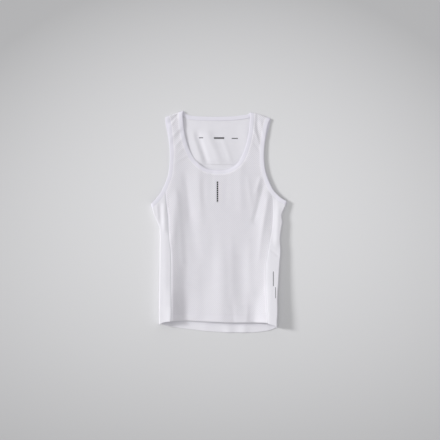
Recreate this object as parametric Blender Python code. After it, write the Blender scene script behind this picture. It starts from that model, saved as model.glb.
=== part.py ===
"""A sleeveless base layer laid flat on its back: eight sewn pieces as closed cloth walls.

Metres, +Z up. The garment lies on the plane z = 0 with its front up, its neck towards +Y and
the middle of its outline over the origin. Every piece is cut on one flat pattern, which a few
functions wrap into the laid garment:

  across, up   the pattern's two directions, those of X and Y wherever the cloth lies level
  layer        +1 on the front, -1 on the back
  side fold    the line down each side where the front layer rolls under to become the back
  shoulder     the line over each strap where the front layer rolls over to become the back

A pattern point that lies past a fold line belongs to the other layer, so a piece that goes round
a side, or a binding that closes into a ring, is cut as one flat shape.
"""
import math

import bmesh
import bpy
import numpy as np
from mathutils import Vector
from mathutils.geometry import delaunay_2d_cdt

MM = 0.001
FRONT, BACK = 1, -1
LEFT, RIGHT = -1, 1

# ---------------------------------------------------------------- driving sizes
WALL = 1.2 * MM               # one layer of knit with its air
HEM_WALL = 2.2 * MM           # the hem, turned up once
HEM_DEPTH = 24.0 * MM         # from the hem's edge to its row of stitches
BINDING_WALL = 1.6 * MM       # the folded band round neck and armholes
BINDING_WIDTH = 11.0 * MM
BINDING_RISE = 0.3 * MM       # how far the band stands above the cloth beside it
BINDING_NOSE = 0.5 * MM       # the rounded free edge of the band
SEAM_GAP = 0.3 * MM           # between two pieces that are sewn together
GAP = SEAM_GAP / 2            # each piece's share of it
SEWN = BINDING_WIDTH + SEAM_GAP   # from a binding's free edge to the cloth sewn to it

SIDE_ROLL = 9.0 * MM          # how far in from a side fold the cloth is level again
SHOULDER_ROLL = 4.5 * MM      # the same at the shoulder lines

CELL = 13.0 * MM              # triangle size on the front
YOKE_CELL = 9.5 * MM          # on the creased upper back
EDGE_STEP = 9.0 * MM          # between points along a long edge
SIDE_STEP = 2.4 * MM          # between points round a side fold
SHOULDER_STEP = 1.7 * MM      # the same round a shoulder fold
SHOULDER_ROW = 2.36 * MM      # between a strap's rows of points there
CUFF_ROW = 1.0 * MM           # the hem's step in thickness takes this much height
SIDE_ROW = 14.5 * MM          # between a side panel's rows of points
SIDE_ROWS = (42.0, 34.0, 26.0, 20.0, 14.1, 10.6, 7.1, 3.5)   # mm in from the side fold
RIM_CLEAR = 2.2 * MM          # a side panel's inner points keep this far from its edge
SHARP_EDGE = 50.0             # degrees: the rim of a cloth wall is a hard edge
PROBE = 0.4 * MM              # half the distance over which a direction is measured
REACH = 2                     # how many points away a binding's direction is measured
MARCH = 8                     # steps from a binding's free edge to its seam
PAST = 6                      # points past a shoulder line that a strap's edge may reach

# ---------------------------------------------------------------- the laid outline, in mm
# Side folds: height up the garment, and how far left and right of the middle the folds lie.
SIDE_FOLDS = [
    # up, left, right
    (-306.0, 174.6, 169.6),
    (-291.0, 174.4, 169.2),
    (-262.0, 174.6, 170.6),
    (-227.0, 174.0, 170.4),
    (-169.0, 173.2, 173.7),
    (-126.0, 172.6, 176.4),
    (-82.0, 172.4, 179.6),
    (-53.0, 172.0, 178.0),
    (-24.0, 172.6, 181.0),
    (-1.0, 179.8, 184.6),
    (17.0, 187.9, 182.6),
    (34.0, 193.4, 188.5),
    (50.0, 197.6, 195.4),
    (60.0, 198.0, 197.6),
    (330.0, 198.0, 198.0),
]
# Shoulder lines, from the left armhole to the right one.
SHOULDERS = [
    # across, up
    (-172.0, 298.4),
    (-155.4, 304.0),
    (-104.6, 322.1),
    (-84.0, 327.0),
    (70.0, 323.0),
    (91.2, 317.5),
    (108.0, 315.2),
    (149.4, 300.1),
    (168.0, 293.0),
]
# Free edges, from a shoulder to an underarm, or from the left shoulder round to the right.
FRONT_ARMHOLE_LEFT = [
    # across, up
    (-155.4, 304.0),
    (-149.6, 282.0),
    (-146.2, 254.0),
    (-143.2, 219.0),
    (-142.3, 192.0),
    (-143.8, 164.0),
    (-146.6, 138.0),
    (-152.8, 119.0),
    (-163.3, 94.3),
    (-176.5, 73.0),
    (-197.4, 50.2),
]
BACK_ARMHOLE_LEFT = [
    # across, up
    (-155.4, 304.0),
    (-155.0, 286.0),
    (-150.0, 262.0),
    (-144.6, 226.0),
    (-142.6, 192.0),
    (-143.8, 164.0),
    (-146.8, 138.0),
    (-153.0, 119.0),
    (-163.6, 94.3),
    (-176.8, 73.0),
    (-197.4, 50.2),
]
FRONT_ARMHOLE_RIGHT = [
    # across, up
    (149.4, 300.1),
    (143.2, 287.5),
    (137.4, 272.0),
    (131.2, 237.0),
    (129.6, 208.0),
    (130.2, 179.0),
    (134.3, 147.0),
    (143.0, 121.0),
    (155.2, 95.0),
    (165.6, 82.0),
    (179.0, 69.6),
    (197.4, 58.4),
]
BACK_ARMHOLE_RIGHT = [
    # across, up
    (149.4, 300.1),
    (148.6, 286.0),
    (143.4, 268.0),
    (134.6, 237.0),
    (130.8, 208.0),
    (131.2, 179.0),
    (135.3, 147.0),
    (144.0, 121.0),
    (156.0, 95.0),
    (166.2, 82.0),
    (179.4, 69.6),
    (197.4, 58.4),
]
FRONT_NECK = [
    # across, up
    (-104.6, 322.1),
    (-106.2, 308.0),
    (-103.4, 273.0),
    (-97.0, 240.0),
    (-85.4, 207.0),
    (-70.0, 181.0),
    (-42.0, 157.5),
    (-8.0, 149.6),
    (27.0, 153.6),
    (56.0, 172.6),
    (73.6, 206.0),
    (84.6, 246.0),
    (89.8, 284.0),
    (91.2, 317.5),
]
BACK_NECK = [
    # across, up
    (-104.6, 322.1),
    (-92.0, 311.4),
    (-68.0, 306.4),
    (-12.0, 304.5),
    (39.0, 305.8),
    (67.0, 308.8),
    (85.0, 312.2),
    (91.2, 317.5),
]
FRONT_HEM = [
    # across, up
    (-176.0, -297.0),
    (-154.0, -290.0),
    (-120.0, -287.4),
    (-12.0, -290.8),
    (61.0, -292.8),
    (128.0, -292.2),
    (152.0, -298.0),
    (178.0, -306.0),
]
BACK_HEM = [
    # across, up
    (-176.0, -296.5),
    (-150.0, -302.5),
    (-122.0, -307.6),
    (-62.0, -315.4),
    (-20.0, -319.6),
    (41.0, -322.2),
    (90.0, -322.2),
    (140.0, -317.6),
    (178.0, -306.0),
]
# Seams between the front and the side panels, from the hem to the armhole.
SIDE_SEAMS = [
    # up, left, right
    (-310.0, 137.6, 142.4),
    (-256.0, 136.8, 139.2),
    (-198.0, 138.0, 136.3),
    (-126.0, 138.4, 136.3),
    (-88.0, 139.4, 142.1),
    (-53.0, 144.0, 147.9),
    (-18.0, 146.2, 153.7),
    (28.0, 147.4, 156.8),
    (66.0, 149.4, 158.2),
    (92.0, 150.8, 158.4),
]
YOKE_SEAM_UP = 168.5          # level of the seam between the lower back and the yoke
YOKE_RISE = 12.0              # the yoke's folds grow to their height over this much
YOKE_END_ACROSS = 140.0       # near this, either side, the seam meets the armholes
SEAM_FOOT_UP = -300.0         # near this a side seam meets the hem
SEAM_HEAD_UP = 85.0           # near this it meets the armhole
HEM_CORNER_ACROSS = 175.0     # near this, either side, the hem goes round the side fold

# ---------------------------------------------------------------- height of the front, in mm
# Sections across the laid garment: the top of the front layer above the surface. The sides
# stand proud, most of all at the lower right, and the middle settles towards the back.
ACROSS = (-146.0, -88.0, 5.0, 86.0, 152.0)
SECTIONS = [
    # up, left side, left hollow, middle, right hollow, right side
    (-310.0, 26.0, 11.0, 12.5, 10.5, 30.0),
    (-235.0, 25.5, 10.5, 12.0, 11.0, 27.0),
    (-170.0, 24.0, 10.5, 11.5, 12.0, 22.5),
    (-110.0, 20.5, 11.0, 12.0, 12.5, 19.5),
    (-50.0, 17.5, 10.5, 12.0, 12.0, 18.0),
    (20.0, 15.5, 10.0, 11.5, 11.0, 14.5),
    (60.0, 12.0, 9.0, 10.5, 10.5, 12.0),
    (95.0, 10.5, 8.0, 9.5, 10.0, 10.5),
    (150.0, 8.6, 7.0, 7.6, 8.4, 9.0),
    (200.0, 7.6, 6.2, 6.6, 7.2, 7.8),
    (260.0, 7.2, 7.2, 7.2, 7.2, 7.2),
    (330.0, 7.2, 7.2, 7.2, 7.2, 7.2),
]
# Largest folds of the front: soft ridges (rise above 0) and troughs (below 0), each along a
# line from one end to the other, and how far it reaches either side of that line.
FRONT_FOLDS = [
    # from across, up, to across, up, reach, rise
    (-131.0, 78.0, -135.0, -40.0, 11.0, 2.4),      # ridge inside the left seam
    (-96.0, 120.0, -84.0, 20.0, 11.0, -2.2),       # trough from the left armhole
    (-84.0, 20.0, -68.0, -90.0, 15.0, -1.6),       # its long run down the front
    (-60.0, 150.0, -54.0, 15.0, 14.0, 1.8),        # ridge beside it
    (-46.0, 110.0, -44.0, 62.0, 9.0, -1.0),
    (9.0, -115.0, 9.0, -310.0, 21.0, 2.6),         # broad ridge up the middle of the hem
    (-38.0, -130.0, -48.0, -285.0, 18.0, -1.6),
    (62.0, -105.0, 68.0, -230.0, 17.0, -2.4),      # trough right of it
    (119.0, -205.0, 104.0, -300.0, 16.0, -3.2),    # trough into the lower right corner
    (61.0, 158.0, 63.0, 50.0, 14.0, 1.4),
    (127.0, 112.0, 98.0, 20.0, 12.0, -2.2),        # slanting trough from the right armhole
    (134.0, 66.0, 118.0, -95.0, 10.0, 2.8),        # bright ridge inside the right seam
    (152.0, 62.0, 146.0, -45.0, 8.0, -1.6),
    (168.0, 30.0, 160.0, -80.0, 8.0, 1.6),         # ridge on the right side panel
    (-162.0, 40.0, -160.0, -25.0, 7.0, 1.4),       # gathers below the left underarm
    (-182.0, 42.0, -164.0, -30.0, 6.0, -1.4),
    (-148.0, 62.0, -143.0, -25.0, 7.0, -1.4),
    (-149.0, 285.0, -118.0, 312.0, 6.0, -0.9),     # creases over the left strap
    (-136.0, 226.0, -112.0, 262.0, 8.0, -0.9),
    (108.0, 286.0, 124.0, 240.0, 8.0, -0.9),       # crease down the right strap
]
# Folds of the upper back that show inside the neck, read the same way.
YOKE_FOLDS = [
    # from across, up, to across, up, reach, rise
    (-70.0, 285.0, -58.0, 172.0, 9.0, 2.2),
    (-34.0, 270.0, -16.0, 172.0, 8.0, 2.0),
    (2.0, 292.0, 26.0, 186.0, 9.0, 1.6),
    (34.0, 284.0, 54.0, 220.0, 8.0, 1.4),
]

# ---------------------------------------------------------------- looks
COLOURS = {
    # red, green, blue, roughness
    "mesh knit": (0.780, 0.770, 0.830, 0.80),
    "plain knit": (0.800, 0.792, 0.845, 0.72),
    "binding knit": (0.790, 0.775, 0.870, 0.62),
}


# ---------------------------------------------------------------- reading the tables
def read_table(table, at, column):
    """The table's value at a height, on a smooth curve through its rows that never overshoots."""
    keys = [row[0] for row in table]
    values = [row[column] for row in table]
    return smooth_value(keys, values, at)


def smooth_value(keys, values, at):
    if at <= keys[0]:
        return values[0]
    if at >= keys[-1]:
        return values[-1]
    low = 0
    while keys[low + 1] < at:
        low += 1
    span = keys[low + 1] - keys[low]
    rise = (values[low + 1] - values[low]) / span
    start = slope_at(keys, values, low)
    end = slope_at(keys, values, low + 1)
    t = (at - keys[low]) / span
    bend = (start - rise) * (1 - t) - (end - rise) * t
    return values[low] + span * t * (rise + (1 - t) * bend)


def slope_at(keys, values, row):
    """The curve's slope at a row: nought at a crest, a hollow or an end."""
    if row in (0, len(keys) - 1):
        return 0.0
    before = (values[row] - values[row - 1]) / (keys[row] - keys[row - 1])
    after = (values[row + 1] - values[row]) / (keys[row + 1] - keys[row])
    if before * after <= 0:
        return 0.0
    return 2 * before * after / (before + after)


def smooth_path(points, parts=16):
    """Many points on the curve that runs through a few."""
    points = [np.array(point, dtype=float) * MM for point in points]
    ends = [2 * points[0] - points[1]] + points + [2 * points[-1] - points[-2]]
    path = []
    for a, b, c, d in zip(ends, ends[1:], ends[2:], ends[3:]):
        for t in np.arange(parts) / parts:
            inner = 2 * b + (c - a) * t
            path.append(0.5 * (inner + (2 * a - 5 * b + 4 * c - d) * t**2 + (3 * b - a - 3 * c + d) * t**3))
    path.append(points[-1])
    return path


# ---------------------------------------------------------------- the laid garment's form
def side_fold(up, side):
    return side * read_table(SIDE_FOLDS, up / MM, 1 if side == LEFT else 2) * MM


def shoulder(across):
    return read_table(SHOULDERS, across / MM, 1) * MM


def hem(across, layer):
    table = FRONT_HEM if layer == FRONT else BACK_HEM
    return read_table(table, across / MM, 1) * MM


def fold_height(folds, x, y):
    """Sum of the folds at a point, in mm: each a soft ridge that dies away at both ends."""
    total = 0.0
    for x0, y0, x1, y1, reach, rise in folds:
        run_x, run_y = x1 - x0, y1 - y0
        length = math.hypot(run_x, run_y)
        along = ((x - x0) * run_x + (y - y0) * run_y) / length
        off = ((x - x0) * run_y - (y - y0) * run_x) / length
        over = max(0.0, -along, along - length)
        total += rise * math.exp(-(off / reach) ** 2 - (over / (1.6 * reach)) ** 2)
    return total


def front_top(across, up):
    """Top of the front layer above the surface."""
    x, y = across / MM, up / MM
    row = [read_table(SECTIONS, y, column) for column in range(1, 6)]
    return (smooth_value(ACROSS, row, x) + fold_height(FRONT_FOLDS, x, y)) * MM


def back_lift(across, up):
    """How far the upper back's folds lift it off the surface; the lower back lies flat."""
    x, y = across / MM, up / MM
    fade = min(1.0, max(0.0, (y - YOKE_SEAM_UP) / YOKE_RISE))
    return fade * max(0.0, fold_height(YOKE_FOLDS, x, y) - 0.1) * MM


def rolled(reach_along, roll):
    """Where a point lies that is so far along the cloth from a fold line: how far in from the
    line, and its share of the way from the fold's middle height to its own layer's height."""
    quarter = roll * math.pi / 2
    if reach_along >= quarter:
        return roll + reach_along - quarter, 1.0
    angle = reach_along / roll
    return roll * (1 - math.cos(angle)), math.sin(angle)


def unrolled(inset, roll):
    """The other way round: how far along the cloth a point lies that is so far in from a line."""
    if inset >= roll:
        return roll * math.pi / 2 + inset - roll
    return roll * math.acos(1 - max(0.0, inset) / roll)


def slack(roll):
    """How much further a fold line lies on the flat pattern than it looks from above."""
    return roll * (math.pi / 2 - 1)


def side_line(up, side):
    return side_fold(up, side) + side * slack(SIDE_ROLL)


def shoulder_line(across):
    return shoulder(across) + slack(SHOULDER_ROLL)


def pattern_point(across, up, layer):
    """A point seen from above, as it lies on the flat pattern."""
    side = LEFT if across < 0 else RIGHT
    along_side = unrolled(side * (side_fold(up, side) - across), SIDE_ROLL)
    along_top = unrolled(shoulder(across) - up, SHOULDER_ROLL)
    flat_across = side_line(up, side) - side * along_side
    return np.array((flat_across, shoulder_line(across) - along_top, layer))


def laid(across, up, layer):
    """A pattern point as it lies in the garment: its place seen from above, its layer and how
    far it is out of the rolled folds, from 0 on a fold line to 1 on level cloth."""
    side = LEFT if across < 0 else RIGHT
    along_side = side * (side_line(up, side) - across)
    if along_side < 0:
        along_side, layer = -along_side, -layer
    inset_side, out_side = rolled(along_side, SIDE_ROLL)
    x = side_fold(up, side) - side * inset_side
    along_top = shoulder_line(x) - up
    if along_top < 0:
        along_top, layer = -along_top, -layer
    inset_top, out_top = rolled(along_top, SHOULDER_ROLL)
    return x, shoulder(x) - inset_top, layer, out_side * out_top


def surface(across, up, layer):
    """The cloth's outer face at a pattern point."""
    x, y, layer, out = laid(across, up, layer)
    top = front_top(x, y)
    if layer == FRONT:
        return np.array((x, y, top / 2 * (1 + out)))
    return np.array((x, y, top / 2 * (1 - out) + back_lift(x, y) * out))


def directions(across, up, layer):
    """Where the pattern's two directions point in the laid cloth."""
    along = surface(across + PROBE, up, layer) - surface(across - PROBE, up, layer)
    upward = surface(across, up + PROBE, layer) - surface(across, up - PROBE, layer)
    return along / (2 * PROBE), upward / (2 * PROBE)


def outward(across, up, layer):
    """Unit direction out of the garment at a pattern point."""
    along, upward = directions(across, up, layer)
    normal = np.cross(along, upward) * layer
    return normal / np.linalg.norm(normal)


def cloth_point(point, depth):
    """A point so deep below the cloth's outer face."""
    return surface(*point) - outward(*point) * depth


def cloth_wall(point):
    """Thickness of a panel at a pattern point: doubled where the hem is turned up."""
    x, y, layer, _ = laid(*point)
    return HEM_WALL if y < hem(x, layer) + HEM_DEPTH else WALL


# ---------------------------------------------------------------- pattern edges
def spaced(path, first_step, last_step):
    """Points along a path, closer together near an end that meets a fold."""
    lengths = [0.0]
    for a, b in zip(path, path[1:]):
        lengths.append(lengths[-1] + float(np.linalg.norm((b - a)[:2])))
    total = lengths[-1]
    marks = [0.0]
    while marks[-1] < total:
        gone = marks[-1]
        step = min(EDGE_STEP, first_step + 0.22 * gone, last_step + 0.22 * (total - gone))
        marks.append(gone + step)
    marks = np.array(marks) * total / marks[-1]
    columns = np.array(path).T
    return [np.array([np.interp(mark, lengths, column) for column in columns]) for mark in marks]


def free_edge(points, layer, first_step, last_step):
    path = [pattern_point(point[0], point[1], layer) for point in smooth_path(points)]
    return spaced(path, first_step, last_step)


def over_side(point):
    """The same point, written as if its own layer went on past the side fold."""
    across, up, layer = point
    side = LEFT if across < 0 else RIGHT
    return np.array((2 * side_line(up, side) - across, up, -layer))


def over_shoulder(point):
    across, up, layer = point
    return np.array((across, 2 * shoulder_line(across) - up, -layer))


class Ring:
    """A closed binding: points along its free edge, each with the way into the cloth."""

    def __init__(self, front, back, turn):
        # front runs from a shoulder to the far fold; back starts and ends on the same folds
        self.points = front + back[-2:0:-1]
        self.far_fold = len(front) - 1
        self.turn = turn
        self.paths = [self.path_to_seam(index) for index in range(len(self.points))]

    def path_to_seam(self, index):
        """Pattern points from the free edge to the seam, going straight over the laid cloth."""
        point = self.points[index]
        ahead = surface(*self.points[(index + REACH) % len(self.points)])
        behind = surface(*self.points[index - REACH])
        square = np.cross(ahead - behind, outward(*point)) * self.turn
        path = [point]
        for _ in range(MARCH):
            normal = outward(*path[-1])
            square = square - normal * np.dot(square, normal)
            square /= np.linalg.norm(square)
            spread = np.column_stack(directions(*path[-1]))
            across, up = np.linalg.lstsq(spread, square, rcond=None)[0]
            path.append(path[-1] + np.array((across, up, 0.0)) * SEWN / MARCH)
        return path

    def cloth(self, index, inset):
        """A pattern point so far in from the free edge, at one of the ring's points."""
        path = self.paths[index % len(self.points)]
        place = min(inset / SEWN * MARCH, MARCH - 0.001)
        step = int(place)
        return path[step] + (path[step + 1] - path[step]) * (place - step)

    def nearest(self, across, up, layer):
        """The ring's point whose sewn edge lies nearest to a place on one layer."""
        def distance(index):
            if self.points[index][2] != layer:
                return 1.0
            place = self.cloth(index, BINDING_WIDTH)
            return math.hypot(place[0] - across, place[1] - up)
        return min(range(len(self.points)), key=distance)


def armhole(front_points, back_points, side):
    front = free_edge(front_points, FRONT, SHOULDER_STEP, SIDE_STEP)
    back = free_edge(back_points, BACK, SHOULDER_STEP, SIDE_STEP)
    meet_on_folds(front, back, on_side)
    return Ring(front, back, side)


def neckline():
    front = free_edge(FRONT_NECK, FRONT, SHOULDER_STEP, SHOULDER_STEP)
    back = free_edge(BACK_NECK, BACK, SHOULDER_STEP, SHOULDER_STEP)
    meet_on_folds(front, back, on_shoulder)
    return Ring(front, back, RIGHT)


def meet_on_folds(front, back, far_fold):
    """Bring the ends of the two halves of a free edge together on the fold lines."""
    for end, fold in ((0, on_shoulder), (-1, far_fold)):
        front[end] = fold(front[end])
        back[end][:2] = front[end][:2]


def on_shoulder(point):
    return np.array((point[0], shoulder_line(point[0]), point[2]))


def on_side(point):
    side = LEFT if point[0] < 0 else RIGHT
    return np.array((side_line(point[1], side), point[1], point[2]))


# ---------------------------------------------------------------- solids
def add_solid(name, points, faces, colour):
    mesh = bpy.data.meshes.new(name)
    mesh.from_pydata([tuple(point) for point in points], [], faces)
    shape = bmesh.new()
    shape.from_mesh(mesh)
    bmesh.ops.recalc_face_normals(shape, faces=shape.faces)
    shape.to_mesh(mesh)
    shape.free()
    mesh.shade_smooth()
    mesh.set_sharp_from_angle(angle=math.radians(SHARP_EDGE))
    mesh.materials.append(material(colour))
    piece = bpy.data.objects.new(name, mesh)
    bpy.context.collection.objects.link(piece)
    return piece


def material(name):
    if name in bpy.data.materials:
        return bpy.data.materials[name]
    red, green, blue, roughness = COLOURS[name]
    made = bpy.data.materials.new(name)
    made.use_nodes = True
    shader = made.node_tree.nodes["Principled BSDF"]
    shader.inputs["Base Color"].default_value = (red, green, blue, 1.0)
    shader.inputs["Roughness"].default_value = roughness
    shader.inputs["Metallic"].default_value = 0.0
    return made


def add_binding(name, ring):
    """A flat band with a rounded free edge, closed into a ring."""
    points = []
    for index in range(len(ring.points)):
        upper = []
        lower = []
        for inset in (0.0, BINDING_WIDTH / 2, BINDING_WIDTH):
            point = ring.cloth(index, inset)
            out = outward(*point)
            _, _, layer, share = laid(*point)
            rise = BINDING_RISE * (1 + layer * share) / 2
            upper.append(surface(*point) + out * rise)
            lower.append(upper[-1] - out * BINDING_WALL)
        off_edge = upper[0] - upper[1]
        nose = (upper[0] + lower[0]) / 2 + off_edge / np.linalg.norm(off_edge) * BINDING_NOSE
        points += [nose] + upper + lower[::-1]
    sides = 7
    stations = len(ring.points)
    faces = []
    for station in range(stations):
        following = (station + 1) % stations
        for side in range(sides):
            turn = (side + 1) % sides
            faces.append((station * sides + side, following * sides + side,
                          following * sides + turn, station * sides + turn))
    return add_solid(name, points, faces, "binding knit")


def inside(point, outline):
    """Whether a pattern point lies inside a closed outline."""
    x, y = point
    crossings = 0
    for a, b in zip(outline, outline[1:] + outline[:1]):
        if (a[1] > y) != (b[1] > y) and x < a[0] + (y - a[1]) / (b[1] - a[1]) * (b[0] - a[0]):
            crossings += 1
    return crossings % 2 == 1


def edge_distance(point, outline):
    start = np.array(outline)[:, :2]
    run = np.roll(start, -1, axis=0) - start
    gap = np.array(point[:2]) - start
    along = np.clip((gap * run).sum(axis=1) / (run * run).sum(axis=1), 0, 1)
    return float(np.sqrt(((gap - run * along[:, None]) ** 2).sum(axis=1)).min())


def add_panel(name, outline, layer, inner, colour):
    """A closed wall of cloth over a flat outline; inner points carry its folds."""
    plan = [tuple(point[:2]) for point in outline]
    rim = len(plan)
    kept = list(plan)
    for point in inner:
        if inside(point[:2], plan) and edge_distance(point, plan) > 0.8 * MM:
            kept.append(tuple(point[:2]))
    corners = [Vector(point) for point in kept]
    loop = list(range(rim))
    flat, _, faces, _, _, _ = delaunay_2d_cdt(corners, [], [loop], 1, 1e-6)
    if len(flat) != len(kept):
        raise ValueError(name + ": the outline crosses itself")
    pattern = [(point[0], point[1], layer) for point in flat]
    outer = [surface(*point) for point in pattern]
    lower = [cloth_point(point, cloth_wall(point)) for point in pattern]
    count = len(pattern)
    solid = [tuple(face) for face in faces]
    solid += [tuple(count + corner for corner in reversed(face)) for face in faces]
    edges = {}
    for face in faces:
        for a, b in zip(face, face[1:] + face[:1]):
            edges[(a, b)] = True
    for a, b in edges:
        if (b, a) not in edges:
            solid.append((b, a, count + a))
            solid.append((b, count + a, count + b))
    return add_solid(name, outer + lower, solid, colour)


def grid(outline, cell):
    """Staggered points over the rectangle that holds an outline."""
    low = np.min(outline, axis=0)
    high = np.max(outline, axis=0)
    points = []
    for row, up in enumerate(np.arange(low[1], high[1], 0.9 * cell)):
        start = low[0] + (cell / 2 if row % 2 else 0.0)
        points += [(across, up) for across in np.arange(start, high[0], cell)]
    return points


def thinned(points, outline, clear):
    """Grid points that keep clear of an outline."""
    plan = [tuple(point[:2]) for point in outline]
    return [point for point in points if edge_distance(point, plan) > clear]


def hem_rows(stations, layer):
    """Two close rows of points where a turned hem ends."""
    rows = []
    for across in stations:
        edge = hem(across, layer) + HEM_DEPTH
        rows.append((across, edge - CUFF_ROW / 2))
        rows.append((across, edge + CUFF_ROW / 2))
    return rows


# ---------------------------------------------------------------- cutting the pieces


def ring_edge(ring, first, last, layer=FRONT):
    """One layer's edge along a binding, between two of the binding's points. Where it runs past
    a shoulder line it is cut off just short of that line."""
    step = 1 if last > first else -1
    points = []
    for index in range(first, last + step, step):
        point = ring.cloth(index, SEWN)
        points.append(point if point[2] == layer else over_shoulder(point))
    edge = []
    for a, b in zip(points, points[1:] + points[-1:]):
        short_a, short_b = short_of_shoulder(a), short_of_shoulder(b)
        if short_a > 0:
            edge.append(a)
        if (short_a > 0) != (short_b > 0):
            edge.append(a + (b - a) * short_a / (short_a - short_b))
    return edge


def short_of_shoulder(point):
    return shoulder_line(point[0]) - GAP - point[1]


def strap_end(first, last, layer):
    """A strap's end between two bindings, just short of the shoulder line."""
    count = max(2, round(abs(last[0] - first[0]) / EDGE_STEP))
    edge = []
    for step in range(1, count):
        across = first[0] + (last[0] - first[0]) * step / count
        edge.append(np.array((across, shoulder_line(across) - GAP, layer)))
    return edge


def strap_rows(end):
    """Rows of points that carry a strap round its shoulder fold."""
    rows = []
    for point in end:
        for row in (1, 2, 3):
            rows.append((point[0], point[1] - row * SHOULDER_ROW))
    return rows


def moved(point, across=0.0, up=0.0):
    return np.array((point[0] + across, point[1] + up, point[2]))


def seam_heights(low, high):
    count = max(2, round((high - low) / (1.5 * EDGE_STEP)))
    return [low + (high - low) * step / count for step in range(count + 1)]


class Sides:
    """The front and back seams of one side, and where they meet hem and armhole."""

    def __init__(self, ring, side):
        self.ring = ring
        self.side = side
        column = 1 if side == LEFT else 2
        self.seam = lambda up: side * read_table(SIDE_SEAMS, up / MM, column) * MM
        head = SEAM_HEAD_UP * MM
        self.front_end = ring.nearest(self.seam(head), head, FRONT)
        self.back_end = ring.nearest(self.seam(head), head, BACK)
        self.yoke_end = ring.nearest(side * YOKE_END_ACROSS * MM, YOKE_SEAM_UP * MM, BACK)

    def seam_line(self, layer):
        """The seam's points from hem to armhole, for both pieces that meet there."""
        end = self.ring.cloth(self.front_end if layer == FRONT else self.back_end, SEWN)
        start = hem(self.seam(SEAM_FOOT_UP * MM), layer)
        line = []
        for up in seam_heights(start, end[1]):
            share = (up - start) / (end[1] - start)
            ease = max(0.0, (share - 0.8) / 0.2)
            across = self.seam(up) * (1 - ease) + end[0] * ease
            line.append(np.array((across, up, layer)))
        line[-1] = end
        return line


def hem_line(low, high, layer, step):
    count = max(1, round((high - low) / step))
    stations = [low + (high - low) * index / count for index in range(count + 1)]
    return [np.array((across, hem(across, layer), layer)) for across in stations]


def cut_front(left, right, neck):
    left_seam = left.seam_line(FRONT)
    right_seam = right.seam_line(FRONT)
    lower = hem_line(left_seam[0][0] + GAP, right_seam[0][0] - GAP, FRONT, CELL)
    right_arm = ring_edge(right.ring, right.front_end - 1, -PAST)
    neck_edge = ring_edge(neck, neck.far_fold + PAST, -PAST)
    left_arm = ring_edge(left.ring, -PAST, left.front_end - 1)
    right_strap = strap_end(right_arm[-1], neck_edge[0], FRONT)
    left_strap = strap_end(neck_edge[-1], left_arm[0], FRONT)
    outline = list(lower)
    outline += [moved(point, across=-GAP) for point in right_seam[1:]]
    outline += right_arm + right_strap + neck_edge + left_strap + left_arm
    outline += [moved(point, across=GAP) for point in reversed(left_seam[1:])]
    inner = thinned(grid(outline, CELL), outline, 0.45 * CELL)
    inner = [point for point in inner if not near_hem(point, FRONT) and not near_shoulder(point)]
    inner += hem_rows([point[0] for point in lower[1:-1]], FRONT)
    inner += strap_rows(right_strap) + strap_rows(left_strap)
    return add_panel("front_panel", outline, FRONT, inner, "mesh knit")


def near_hem(point, layer):
    return abs(point[1] - hem(point[0], layer) - HEM_DEPTH) < 0.4 * CELL


def near_shoulder(point):
    return shoulder_line(point[0]) - point[1] < 4 * SHOULDER_ROW


def cut_yoke(left, right, neck):
    lower = yoke_line(left, right)
    right_arm = ring_edge(right.ring, right.yoke_end + 1, len(right.ring.points) + PAST, BACK)
    neck_edge = ring_edge(neck, neck.far_fold - PAST, len(neck.points) + PAST, BACK)
    left_arm = ring_edge(left.ring, len(left.ring.points) + PAST, left.yoke_end + 1, BACK)
    right_strap = strap_end(right_arm[-1], neck_edge[0], BACK)
    left_strap = strap_end(neck_edge[-1], left_arm[0], BACK)
    outline = [moved(point, up=GAP) for point in lower]
    outline += right_arm + right_strap + neck_edge + left_strap + left_arm
    inner = thinned(grid(outline, YOKE_CELL), outline, 0.5 * YOKE_CELL)
    inner = [point for point in inner if not near_shoulder(point)]
    inner += strap_rows(right_strap) + strap_rows(left_strap)
    return add_panel("back_yoke", outline, BACK, inner, "plain knit")


def yoke_line(left, right):
    """The seam across the back, from binding to binding."""
    first = left.ring.cloth(left.yoke_end, SEWN)
    last = right.ring.cloth(right.yoke_end, SEWN)
    count = round((last[0] - first[0]) / EDGE_STEP)
    return [first + (last - first) * step / count for step in range(count + 1)]


def cut_back(left, right):
    left_seam = left.seam_line(BACK)
    right_seam = right.seam_line(BACK)
    lower = hem_line(left_seam[0][0] + GAP, right_seam[0][0] - GAP, BACK, CELL)
    outline = list(lower)
    outline += [moved(point, across=-GAP) for point in right_seam[1:]]
    outline += ring_edge(right.ring, right.back_end + 1, right.yoke_end - 1, BACK)
    outline += [moved(point, up=-GAP) for point in reversed(yoke_line(left, right))]
    outline += ring_edge(left.ring, left.yoke_end - 1, left.back_end + 1, BACK)
    outline += [moved(point, across=GAP) for point in reversed(left_seam[1:])]
    inner = hem_rows([point[0] for point in lower[1:-1]], BACK)
    return add_panel("back_panel", outline, BACK, inner, "plain knit")


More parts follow.
